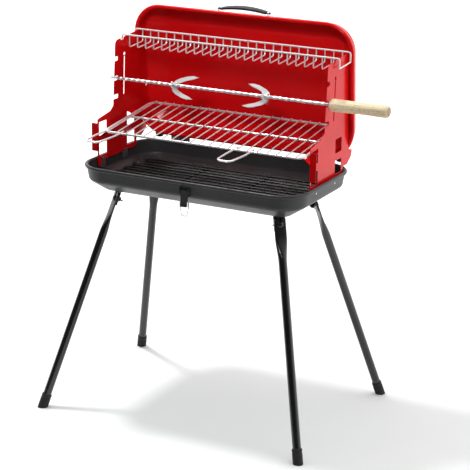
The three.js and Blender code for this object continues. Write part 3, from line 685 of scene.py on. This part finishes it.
def grip():
    """A broad arched band, thickest in the middle, with a soft oblong section and a pin at each end."""
    reach, steps, sides = HANDLE_X - 3, 36, 28
    rings = []
    for i in range(steps + 1):
        t = i / steps * 2 - 1
        arch = 1 - t * t
        scale = (0.8 + 0.2 * arch) * min(1, (1 - abs(t)) * 14 + 0.55)
        half_y, half_z = HANDLE_THICK / 2 * scale * HANDLE_FILL, HANDLE_WIDTH / 2 * scale
        middle = HANDLE_Y + HANDLE_RISE * arch
        rings.append([
            vec(t * reach, middle + half_y * power(c, 0.75), HANDLE_Z + half_z * power(s, 0.7))
            for c, s in circle(1, sides)])
    pins = []
    for side in (-1, 1):
        ends = [vec(side * x, HANDLE_Y, HANDLE_Z) for x in (reach - 6, HANDLE_X + 4.4)]
        pins.append(rod(*ends, 2))
    return joined(loft(rings), *pins)


def catch():
    sheet = 1.3
    outline = corner_outline([(-9, -30, 2), (9, -30, 2), (9, -11, 1), (-9, -11, 1)])
    face = plate(outline, sheet, in_xz(LID_FRONT + sheet))
    lip = strip([(LID_FRONT + 0.7, -11.7), (WALL_Y + 3.2, -11.7)], 14, 1.2, in_yz(0))
    heads = [dome((x, LID_FRONT + sheet, -24), (0, 1, 0), 2, 1) for x in (-5, 5)]
    return joined(face, lip, *heads)


def standing_foot(side):
    """A stub that the shut case stands on, hollowed to sit against the pressing."""
    profile = [
        (0, 0), (STAND_R, 0), (STAND_R, 5), (10.7, 7), (9, STAND_RISE - 2.6), (8.4, STAND_RISE - 0.8),
        (7, STAND_RISE), (0, STAND_RISE)]
    lies = axis_frame((side * STAND_X, -WALL_Y, STAND_Z), (0, -1, 0))
    return cut(lathe(profile, lies, 32), pressing_block())


def lid_fittings():
    for name, side in SIDES:
        piece(f"handle_mount_{name}", moved(handle_bracket(side), LID), f"handle_bracket_{name}")
        piece(f"stand_stub_{name}", moved(standing_foot(side), LID), f"standing_foot_{name}")
    piece("carry_handle", moved(grip(), LID), "lid_handle", sharp=60)
    piece("catch_plate", moved(catch(), LID), "lid_catch")


# ---- latch
LATCH_X, PIVOT_Y, PIVOT_Z = 5, -149.5, 531
BLADE_LOW = 497.8
SPRING_TOP, SPRING_BOTTOM, SPRING_TURNS, SPRING_R = 508, 494, 9, 1.5


def there_and_back(x, half):
    """A path out on one side of x and back on the other, from (across, y, z) points."""
    return [vec(x - a, y, z) for a, y, z in half] + [vec(x + a, y, z) for a, y, z in reversed(half)]


def latch_base():
    wall, sheet = -WALL_Y - GAP, 1.3
    face = plate(rectangle(LATCH_X - 13, 519, LATCH_X + 13, 542, 3), sheet, in_xz(wall))
    root, tip = wall - 0.6, wall - 8.7
    ear = corner_outline([(root, 523), (tip, 526, 3), (tip, 536, 3), (root, 539)])
    hole = eye(PIVOT_Y, PIVOT_Z, 1.8, 14)
    ears = [plate(ear, 1.5, in_yz(LATCH_X + dx), [hole]) for dx in (-11.5, 10)]
    heads = [dome((LATCH_X + dx, wall - sheet, 538.5), (0, -1, 0), 1.8, 1) for dx in (-6, 6)]
    return joined(face, *ears, *heads)


def latch_lever():
    """A blade with its end bent out, between two cheeks, on a pin."""
    y, sheet, around = PIVOT_Y - 1.9, 1.4, 2.4
    blade = strip([(y, PIVOT_Z + 2), (y, BLADE_LOW), (y - 4, BLADE_LOW)], 16, sheet, in_yz(LATCH_X), 2.4)
    front, back, top = PIVOT_Y - around, PIVOT_Y + around, PIVOT_Z + around
    cheek = corner_outline([(front, 508, 1), (back, 510, 2), (back, top, 2.2), (front, top)])
    cheeks = [plate(cheek, sheet, in_yz(LATCH_X + dx)) for dx in (-8, 6.6)]
    ends = [vec(LATCH_X + s * 12.6, PIVOT_Y, PIVOT_Z) for s in (-1, 1)]
    return joined(blade, *cheeks, rod(*ends, 1.4))


def latch_bail():
    """A wire link hung from the lever, with a spring coiled round each leg."""
    y = PIVOT_Y + 0.4
    path = there_and_back(LATCH_X, [(5, y, 513), (10.5, y, 513), (10, y, 495), (6.5, y, 476)])
    springs = []
    for side in (-1, 1):
        coil = []
        for k in range(SPRING_TURNS * 10 + 1):
            share = k / (SPRING_TURNS * 10)
            angle = math.tau * SPRING_TURNS * share
            z = SPRING_TOP + (SPRING_BOTTOM - SPRING_TOP) * share
            across = 10.5 - 0.5 * share + SPRING_R * math.cos(angle) - 0.3
            coil.append(vec(LATCH_X + side * across, y + SPRING_R * math.sin(angle), z))
        springs.append(wire(coil, 0.5, sides=6))
    return joined(wire(rounded(path, 2.5), 1), *springs)


def latch():
    piece("latch_plate", latch_base(), "latch_base")
    piece("latch_handle", latch_lever(), "latch_lever")
    piece("latch_link", latch_bail(), "latch_bail")


# ---- wind panels
SLOT_Z = (673, 714.5, 758)
SLOT_INNER, SLOT_HEIGHT, SLOT_R = 21, 10, 4.9
PANEL_FRONT, FLANGE_LENGTH, FLANGE_Z = -68.5, 63, 596.5
WINDOW_WIDTH, WINDOW_R = 32, 2.5
WINDOW_Y = (-62, 58)
WINDOW_Z = ((552, 582), (598, 629))
TONGUES = (  # front edge, height at the panel, slope, length
    (WINDOW_Y[0], WINDOW_Z[1][0] - 0.5, 0.75, 17),
    (WINDOW_Y[1], WINDOW_Z[1][1] + 0.5, -0.37, 20),
)
CLIPS = (("front", -46), ("rear", 48))
CLIP_LOW, CLIP_HIGH, CLIP_FLARE, CLIP_PLAY = 525.5, 547, 0.8, 0.9
RIVET_Z = 537


def panel_edge(z):
    """How far the leaning upper front edge has moved back at height z."""
    return 10 * (z - 660) / 130


def panel_outline():
    slots = []
    for z in reversed(SLOT_Z):
        low, high = z - SLOT_HEIGHT / 2, z + SLOT_HEIGHT / 2
        slots += [(panel_edge(high), high, 1), (SLOT_INNER, high, SLOT_R)]
        slots += [(SLOT_INNER, low, SLOT_R), (panel_edge(low), low, 1)]
    return corner_outline([
        (10, 799, 18), *slots, (0, 655, 5), (-14, 645, 6), (-68, 637, 4), (-68, 541, 3), (-66, 530, 6),
        (-42, 530, 6), (-42, 541, 2), (97, 541, 3), (100, 560, 4), (122, 560, 8), (144, 574, 8),
        (147.5, 588.5, 4), (133, 591, 2), (127.4, 598, 2), (111.5, 807.5, 4), (47, 802, 1), (45.5, 796, 3),
        (34.5, 796, 3), (33, 801, 1)])


def panel_holes():
    """Four windows, and a keyhole slot that runs down from a round eye."""
    holes = [rectangle(y, low, y + WINDOW_WIDTH, high, WINDOW_R) for y in WINDOW_Y for low, high in WINDOW_Z]
    upper = [p for p in eye(49, 763, 4.4, 20) if p.y > 759.8]
    lower = corner_outline([(46.6, 758.5), (42.6, 672, 2.3), (47.4, 672, 2.3), (51.4, 758.5)])
    return [*holes, upper + lower]


def panel(side):
    """A panel with its front flange turned outwards and two tongues folded in to carry the grid."""
    at = PANEL_X if side > 0 else -PANEL_X - PANEL_SHEET
    inner, middle = side * (PANEL_X - 0.4), side * (PANEL_X + PANEL_SHEET / 2)
    level = frame_of((0, 0, FLANGE_Z), (1, 0, 0), (0, 1, 0))
    turn = [(middle, PANEL_FRONT), (side * (PANEL_X + 15), PANEL_FRONT)]
    parts = [
        plate(panel_outline(), PANEL_SHEET, in_yz(at), panel_holes(), 0.3),
        strip(turn, FLANGE_LENGTH, PANEL_SHEET, level)]
    for y, z, slope, length in TONGUES:
        path = [(middle, z), (inner, z), (side * (PANEL_X - length), z + slope * length)]
        parts.append(strip(path, WINDOW_WIDTH - 4, PANEL_SHEET, in_xz(y + WINDOW_WIDTH / 2)))
    return joined(*parts)


def clip(side, y):
    """A sprung U of sheet that grips the panel, riveted through the tray's wall."""
    inner, outer = PANEL_X - CLIP_PLAY, PANEL_X + PANEL_SHEET + CLIP_PLAY
    path = [
        (inner - CLIP_FLARE, CLIP_HIGH), (inner, CLIP_HIGH - 5), (inner, CLIP_LOW), (outer, CLIP_LOW),
        (outer, CLIP_HIGH - 5), (outer + CLIP_FLARE, CLIP_HIGH)]
    spring = strip([(side * x, z) for x, z in path], 16, SHEET, in_xz(y), 0.8)
    wall = WIDTH / 2 - BEAD
    shank = rod(vec(side * (outer + 0.4), y, RIVET_Z), vec(side * (wall + 0.6), y, RIVET_Z), 2)
    head = dome((side * (wall + GAP), y, RIVET_Z), (side, 0, 0), 3.6, 2.2)
    return joined(spring, shank, head)


def panels():
    for name, side in SIDES:
        piece(f"side_panel_{name}", panel(side), f"wind_panel_{name}")
        for where, y in CLIPS:
            piece(f"panel_spring_{where}_{name}", clip(side, y), f"panel_clip_{where}_{name}")


# ---- grate, grid and rack
GRATE_Z, GRATE_PITCH, GRATE_PAIRS, CROSS_BAR_X = 510, 20, 6, 77
GRATE_WIRE, CROSS_BAR_DROP = 2, 3.2
GRID = Matrix.Translation((0, -70, 613)) @ Matrix.Rotation(math.radians(6.3), 4, "X")
GRID_HALF, GRID_DEPTH, GRID_WIRES = 240, 212, 21
GRID_RISE, GRID_OVER = 3.3, 1.4  # how far the cross wires lie over the frame's centre line, and reach past it
RACK_FRONT, RACK_REAR = (52, 805.6), (110, 809.6)
RACK_END, RACK_HALF, RACK_WIRES = 265, 246, 25
RACK_DROP, RACK_SAG = 21.8, 27
RACK_WIRE = 1.4


def spread(count, pitch):
    """Evenly spaced places either side of 0."""
    return [(i - (count - 1) / 2) * pitch for i in range(count)]


def grate():
    """Bars bent in pairs into long closed loops, on two cross bars."""
    half = GRATE_PITCH / 2
    shapes = []
    for i, y in enumerate(spread(GRATE_PAIRS, 2 * GRATE_PITCH)):
        end = 222 if i in (0, GRATE_PAIRS - 1) else 232
        loop = []
        for side in (1, -1):
            for k in range(9):
                angle = (k / 8 - 0.5) * math.pi
                x = end + half * math.cos(angle)
                loop.append(vec(side * x, y + side * half * math.sin(angle), GRATE_Z))
        shapes.append(wire(loop, GRATE_WIRE, closed=True))
    reach = (GRATE_PAIRS - 0.5) * GRATE_PITCH + 3.6
    for x in (-CROSS_BAR_X, CROSS_BAR_X):
        ends = [vec(x, y, GRATE_Z - CROSS_BAR_DROP) for y in (-reach, reach)]
        shapes.append(rod(*ends, GRATE_WIRE, 10))
    return joined(*shapes)


def grid_loop(x):
    """A handle loop that reaches forward of the grid and up."""
    return wire(rounded(there_and_back(x, [(19, 14, 0), (21, -30, 3), (16, -90, 9)]), 15), 2.2)


def cooking_grid():
    corners = [vec(x * GRID_HALF, y * GRID_DEPTH, 0) for x, y in ((-1, 0), (1, 0), (1, 1), (-1, 1))]
    support = [vec(x, GRID_DEPTH / 2, 0) for x in (-GRID_HALF, GRID_HALF)]
    shapes = [wire(rounded(corners, 20, 8, closed=True), 2.7, closed=True, sides=12), rod(*support, 2.4, 10)]
    for x in spread(GRID_WIRES, (2 * GRID_HALF - 24) / (GRID_WIRES - 1)):
        ends = [vec(x, y, GRID_RISE) for y in (-GRID_OVER, GRID_DEPTH + GRID_OVER)]
        shapes.append(rod(*ends, 1.35, 10))
    shapes += [grid_loop(-218), grid_loop(102)]
    return moved(joined(*shapes), GRID)


def warming_rack():
    """Two rails whose ends hang down, sagging ribs between them, and an end wire outside each panel."""
    shapes = []
    for (y, z), back in ((RACK_FRONT, 0), (RACK_REAR, 2)):
        low, high = (y - back, z - RACK_DROP), (y - back / 2, z)
        path = [
            vec(-RACK_END, *low), vec(-RACK_END, *high), vec(RACK_END, *high), vec(RACK_END, *low)]
        shapes.append(wire(rounded(path, 6), 1.9))
    (fy, fz), (ry, rz) = RACK_FRONT, RACK_REAR
    for x in spread(RACK_WIRES, 2 * RACK_HALF / (RACK_WIRES - 1)):
        path = [vec(x, fy, fz), vec(x, fy, fz - RACK_SAG), vec(x, ry, rz - RACK_SAG), vec(x, ry, rz)]
        shapes.append(wire(rounded(path, 5, 4), RACK_WIRE, sides=8))
    for x in (-RACK_END, RACK_END):
        shapes.append(rod(vec(x, fy - 1, fz - 21.5), vec(x, ry - 1, rz - 21.5), RACK_WIRE, 8))
    return joined(*shapes)


def wirework():
    # the bars take the darker copy of the black enamel, which is painted shade
    piece("charcoal_bars", grate(), "charcoal_grate", finish="grate_enamel")
    piece("grill_grid", cooking_grid(), "cooking_grid")
    piece("rack", warming_rack(), "warming_rack")


# ---- spit
SPIT = Matrix.Translation((0, SPIT_Y, SPIT_Z)) @ Matrix.Rotation(SPIT_TILT, 4, "X")
ROD = 6
ROD_CORNER = 3.8  # from the middle of the bar to its softened corner
BORE_R = ROD / 2 * math.sqrt(2) + GAP
ROD_LEFT, HANDLE_START, HANDLE_END, HANDLE_R = -280, 266, 396.5, 13.5
TWIST_LENGTH, TWIST_STEP = 56, 2.0  # along the bar: one full turn, and from one row of points to the next
STOP_X, STOP_LENGTH, COLLAR_BACK = -180, 8.4, 4.4
FORK_X, FORK_HUB, FORK_TAB, FORK_SHEET, FORK_BACK = 118, 14, 6.5, 2, 6.4
NUT_HEIGHT, SCREW_X = 3, 7


def spit_rod():
    """A square bar twisted cold, pointed at one end and plain where it enters the handle."""
    corners = rectangle(-ROD / 2, -ROD / 2, ROD / 2, ROD / 2, 1.6, 3)
    start, end = ROD_LEFT + 24, HANDLE_START - 12
    rows = [(ROD_LEFT, 0.12), (ROD_LEFT + 1, 0.22), (ROD_LEFT + 12, 1)]
    rows += [(start + k * TWIST_STEP, 1) for k in range(int((end - start) / TWIST_STEP) + 1)]
    rows += [(HANDLE_START + 46, 1)]
    rings = []
    for x, scale in rows:
        turn = math.tau * (min(max(x, start), end) - start) / TWIST_LENGTH
        c, s = math.cos(turn), math.sin(turn)
        rings.append([vec(x, scale * (p.x * c - p.y * s), scale * (p.x * s + p.y * c)) for p in corners])
    return joined(loft(rings), rod(vec(STOP_X, 0, 0), vec(STOP_X, 0, -STOP_LENGTH), 1.5))


def turned(profile, x, sides=40):
    """A profile of (radius, distance) turned about the spit, starting at x."""
    return lathe(profile, axis_frame((x, 0, 0), X_AXIS), sides)


def spit_handle():
    """A turned grip with a slight waist, blind bored for the rod."""
    length, depth, rows = HANDLE_END - HANDLE_START, 40, 16
    body = [
        (BORE_R, depth), (BORE_R, 0), (HANDLE_R - 3, 0), (HANDLE_R - 1.4, 0.5), (HANDLE_R - 0.4, 1.8),
        (HANDLE_R, 4)]
    waist = []
    for k in range(1, rows + 1):
        share = k / rows
        dip = 1.6 * math.sin(math.pi * share) ** 2 * share
        waist.append((HANDLE_R - dip, 4 + (length - 9) * share))
    end = [(HANDLE_R - 1.2, length - 2.4), (HANDLE_R - 2.6, length - 0.8), (HANDLE_R - 4, length)]
    return turned([(0, depth), *body, *waist, *end, (0, length)], HANDLE_START)


def spit_collar():
    profile = [
        (BORE_R, 0), (7, 0), (7.8, 0.6), (8, 1.4), (8, 2.6), (7.8, 3.4), (7, 4), (BORE_R, 4), (BORE_R, 0)]
    return turned(profile, HANDLE_START - COLLAR_BACK)


def fork():
    """A stamped sheet behind the rod with two pointed prongs, and two tabs that the rod runs through."""
    upper = [
        (FORK_HUB, 6.5, 3), (19, 10, 6), (30, 15.5, 12), (46, 20.5, 12), (58, 26, 0.4), (44, 28, 14),
        (30, 25.5, 14), (12, 18.5, 12), (3, 12, 6), (0, 6.5, 1)]
    lower = [(x, -z, r) for x, z, r in reversed(upper)]
    blade = plate(corner_outline(upper + lower), FORK_SHEET, in_xz(FORK_BACK), edge=0.6)
    root = FORK_BACK - 0.6
    tab = corner_outline([
        (-FORK_TAB, -FORK_TAB, 3), (root, -FORK_TAB), (root, FORK_TAB), (-FORK_TAB, FORK_TAB, 3)])
    hole = eye(0, 0, ROD_CORNER + GAP, 24)
    tabs = [plate(tab, FORK_SHEET, in_yz(x), [hole], 0.4) for x in (0, FORK_HUB - FORK_SHEET)]
    nut = lathe([(0, 0), (5.2, 0), (5.5, 0.4), (5.5, 2.6), (5.0, NUT_HEIGHT), (0, NUT_HEIGHT)],
                axis_frame((SCREW_X, FORK_BACK, 0), (0, 1, 0)), 6)
    return joined(blade, *tabs, nut)


def fork_screw():
    """A wing screw that runs through the fork's nut from behind and bears on the rod."""
    start = FORK_BACK + NUT_HEIGHT + GAP
    shank = rod(vec(SCREW_X, ROD / 2 + 0.7, 0), vec(SCREW_X, start + 2, 0), 2)
    neck = tube((SCREW_X, start + 2.5, 0), (0, 1, 0), 0.5, 3.6, 5)
    outline = corner_outline([
        (3, 3, 1), (5, 9, 2), (11, 11, 2.5), (11, 5, 2), (8, 0, 2), (11, -5, 2), (11, -11, 2.5), (5, -9, 2),
        (3, -3, 1)])
    wings = plate(outline, 2, in_yz(SCREW_X - 1), edge=0.6)
    return joined(shank, neck, shifted(wings, y=start))


def spit():
    piece("twisted_rod", moved(spit_rod(), SPIT), "spit_rod", sharp=25)
    piece("wooden_handle", moved(spit_handle(), SPIT), "spit_handle", sharp=40)
    piece("handle_ferrule", moved(spit_collar(), SPIT), "spit_collar")
    for name, side in SIDES:
        carrier = SPIT @ Matrix.Translation((side * FORK_X, 0, 0))
        if side > 0:
            carrier = carrier @ Matrix.Rotation(math.pi, 4, "Y")
        piece(f"meat_fork_{name}", moved(fork(), carrier), f"fork_{name}")
        piece(f"thumb_screw_{name}", moved(fork_screw(), carrier), f"fork_screw_{name}")


# ---- legs
LEG_TOP, LEG_FOOT = (199, 86, 481), (317, 220, 0)
TUBE_R, TUBE_WALL = 9, 1.2
FLAT_WIDTH, FLAT_THICK = 26, 4
BOLT_BELOW_TOP = 11
SHOULDER, TAPER, CREST = 92, 56, 4  # round up to here below the top, then narrowing, and its end over the top
SLOT_HALF, SLOT_REACH = 3.4, 9
SEGMENTS = 32


class Leg:
    """One leg's own axes: Z up the tube, X across its flattened end, Y out of it."""

    def __init__(self, sx, sy):
        top, foot = (vec(sx * x, sy * y, z) for x, y, z in (LEG_TOP, LEG_FOOT))
        self.up = (top - foot).normalized()
        self.across = vec(0, 0, 1).cross(self.up).normalized()
        self.out = self.up.cross(self.across)
        self.length = (top - foot).length
        self.bolt = self.length - BOLT_BELOW_TOP
        self.matrix = frame_of(foot, self.across, self.out)

    def tube(self):
        """Round tube pressed flat at its upper end and slotted for the bolt."""
        bore, shoulder, steps = TUBE_R - TUBE_WALL, self.length - SHOULDER, 12
        rows = ((bore, shoulder - 3), (bore, 8), (TUBE_R, 8), (TUBE_R, shoulder))
        rings = [[vec(x, y, z) for x, y in circle(radius, SEGMENTS)] for radius, z in rows]
        for k in range(1, steps + 1):
            t = k / steps
            rings.append(self.flattened(shoulder + TAPER * t, t * t * (3 - 2 * t)))
        for above, taper in ((-20, 1), (1, 1), (3.2, 0.9), (CREST, 0.75)):
            rings.append(self.flattened(self.length + above, 1, taper))
        low, high = (-SLOT_HALF, -SLOT_REACH, self.bolt), (SLOT_HALF, SLOT_REACH, self.length + 9)
        end = rod(vec(0, -SLOT_REACH, self.bolt), vec(0, SLOT_REACH, self.bolt), SLOT_HALF, 24)
        return cut(loft(rings), block(low, high, 0.1), end)

    def flattened(self, z, share, taper=1):
        """The tube's section when pressed flat by a share of the way."""
        ring = []
        for c, s in circle(1, SEGMENTS):
            x = TUBE_R * c * (1 - share) + share * FLAT_WIDTH / 2 * taper * power(c, 0.6)
            y = TUBE_R * s * (1 - share) + share * FLAT_THICK / 2 * power(s, 0.35)
            ring.append(vec(x, y, z))
        return ring

    def cap(self):
        """A rubber ferrule whose sole is cut level with the ground."""
        outer, bore = TUBE_R + 2, TUBE_R + GAP
        profile = [
            (0, -8), (outer * 0.5, -8), (outer, -8), (outer, 4), (outer, 8), (outer, 22), (outer - 0.5, 23),
            (outer - 0.5, 25), (outer, 26), (outer, 30), (outer - 0.7, 31.6), (bore + 0.3, 32), (bore, 31.6),
            (bore, 7.6), (0, 7.6)]
        points, faces = lathe(profile, self.matrix, SEGMENTS)
        return [p + self.up * (max(0, -p.z) / self.up.z) for p in points], faces

    def bracket(self):
        """A bent strap from the tray's floor down to the bolt."""
        y = -FLAT_THICK / 2 - GAP - 1
        floor = RIM_Z - SHELL_HEIGHT - GAP - 1
        bend = (floor - y * self.out.z) / self.up.z
        level = Vector((-self.up.z, self.out.z))
        low, corner = Vector((y, self.bolt - 13)), Vector((y, bend))
        tip = corner + level * 23
        return strip([low, corner, tip], 26, 2, in_yz(0), 2.5)

    def bolt_shape(self):
        half = FLAT_THICK / 2
        head = dome((0, half + GAP, self.bolt), (0, 1, 0), 7, 3.4)
        return joined(head, rod(vec(0, -half - 11, self.bolt), vec(0, half + 1, self.bolt), 3))

    def wing_nut(self):
        start = -FLAT_THICK / 2 - 3.4
        hub = tube((0, start - 3, self.bolt), (0, -1, 0), 3.3, 5.5, 6)
        shapes = [hub]
        lies = frame_of((0, start, self.bolt - 1.1), (1, 0, 0), (0, 1, 0))
        for s in (-1, 1):
            wing = corner_outline([
                (s * 4, 0), (s * 11, -3, 3), (s * 14, -10, 2.5), (s * 9, -10, 2.5), (s * 4, -5, 1)])
            shapes.append(plate(wing, 2.2, lies, edge=0.5))
        return joined(*shapes)


def legs():
    for where, sy in ENDS:
        for name, sx in SIDES:
            leg, tag = Leg(sx, sy), f"{where}_{name}"
            piece(f"leg_tube_{tag}", moved(leg.tube(), leg.matrix), f"leg_{tag}")
            piece(f"ferrule_{tag}", leg.cap(), f"foot_cap_{tag}", sharp=50)
            piece(f"leg_strap_{tag}", moved(leg.bracket(), leg.matrix), f"leg_bracket_{tag}")
            piece(f"carriage_bolt_{tag}", moved(leg.bolt_shape(), leg.matrix), f"leg_bolt_{tag}")
            piece(f"butterfly_nut_{tag}", moved(leg.wing_nut(), leg.matrix), f"wing_nut_{tag}")


# ---- floor, light and camera
FRONT_DARK, ROOM_BRIGHT = 0.04, 1.50  # the room's light in front of the barbecue and behind it
DARK_UP_TO, BRIGHT_FROM, RISE_SHARE = -0.35, 0.5, 0.45
FLOOR_FRONT, FLOOR_REACH = -0.9, 9
GLOW_FROM, GLOW_FULL, GLOW = 0.8, 2.0, 0.5
CAMERA_PLACE, CAMERA_LENS = (1.712, -3.303, 1.562), 135.9
YAW, PITCH, ROLL = (math.radians(a) for a in (27.18, 17.38, 0.67))


def room():
    """Soft light, bright above and behind and dark in front, with a plain white backdrop."""
    world = bpy.data.worlds.new("room")
    bpy.context.scene.world = world
    world.use_nodes = True
    tree = world.node_tree
    background = tree.nodes["Background"]
    direction, axes, lift, level, path, seen = (tree.nodes.new(f"ShaderNode{kind}") for kind in (
        "TexCoord", "SeparateXYZ", "Math", "MapRange", "LightPath", "Mix"))
    lift.operation = "MULTIPLY_ADD"
    lift.inputs[1].default_value = RISE_SHARE
    limits = {"From Min": DARK_UP_TO, "From Max": BRIGHT_FROM, "To Min": FRONT_DARK, "To Max": ROOM_BRIGHT}
    for socket, value in limits.items():
        level.inputs[socket].default_value = value
    seen.inputs["B"].default_value = 1.0
    background.inputs["Color"].default_value = (1, 1, 1, 1)
    for source, target in (
            (direction.outputs["Generated"], axes.inputs["Vector"]),
            (axes.outputs["Z"], lift.inputs[0]),
            (axes.outputs["Y"], lift.inputs[2]),
            (lift.outputs[0], level.inputs["Value"]),
            (path.outputs["Is Camera Ray"], seen.inputs["Factor"]),
            (level.outputs["Result"], seen.inputs["A"]),
            (seen.outputs["Result"], background.inputs["Strength"])):
        tree.links.new(source, target)


def floor():
    """White ground that glows more and more away from the barbecue, so it melts into the backdrop."""
    n = Nodes("floor", Roughness=0.9, Specular_IOR_Level=0.1)
    where = n.place()
    away = n.add("ShaderNodeVectorMath", {0: where}, operation="LENGTH").outputs["Value"]
    glow = n.between(away, 0, GLOW, GLOW_FROM, GLOW_FULL)
    colour = n.ramp(n.noise(where, 3, 2), (0.3, (0.88, 0.89, 0.89)), (0.7, (0.9, 0.91, 0.905)))
    n.shader.inputs["Emission Color"].default_value = (1, 1, 1, 1)
    n.link(Base_Color=colour, Emission_Strength=glow)
    mesh = bpy.data.meshes.new("floor")
    corners = (-1, FLOOR_FRONT), (1, FLOOR_FRONT), (1, FLOOR_REACH), (-1, FLOOR_REACH)
    mesh.from_pydata([(x * FLOOR_REACH, y, 0) for x, y in corners], [], [(0, 1, 2, 3)])
    mesh.materials.append(n.material)
    ground = bpy.data.objects.new("floor", mesh)
    bpy.context.scene.collection.objects.link(ground)


def lamp(name, place, aim, kind, energy, **settings):
    light = bpy.data.lights.new(name, kind)
    light.energy = energy
    for key, value in settings.items():
        setattr(light, key, value)
    thing = bpy.data.objects.new(name, light)
    thing.location = place
    thing.rotation_euler = (Vector(aim) - Vector(place)).to_track_quat("-Z", "Y").to_euler()
    bpy.context.scene.collection.objects.link(thing)


def studio():
    room()
    floor()
    lamp("key", (-0.72, 0.10, 2.3), (0, 0, 0), "AREA", 24, shape="DISK", size=0.24)
    lamp("front", (0.7, -2.5, 2.3), (-0.05, 0.1, 0.90), "SPOT", 230,
         spot_size=math.radians(21), spot_blend=1.0, shadow_soft_size=0.25)


def camera():
    forward = vec(-math.sin(YAW) * math.cos(PITCH), math.cos(YAW) * math.cos(PITCH), -math.sin(PITCH))
    right = vec(math.cos(YAW), math.sin(YAW), 0)
    up = right.cross(forward)
    x_axis = right * math.cos(ROLL) + up * math.sin(ROLL)
    y_axis = up * math.cos(ROLL) - right * math.sin(ROLL)
    data = bpy.data.cameras.new("camera")
    data.lens = CAMERA_LENS
    data.sensor_width = 36
    eyepoint = bpy.data.objects.new("camera", data)
    eyepoint.matrix_world = frame_of(CAMERA_PLACE, x_axis, y_axis)
    bpy.context.scene.collection.objects.link(eyepoint)
    bpy.context.scene.camera = eyepoint
    bpy.context.scene.view_settings.view_transform = "Standard"


camera()
studio()
tray_and_lid()
hinges()
lid_fittings()
latch()
panels()
wirework()
spit()
legs()
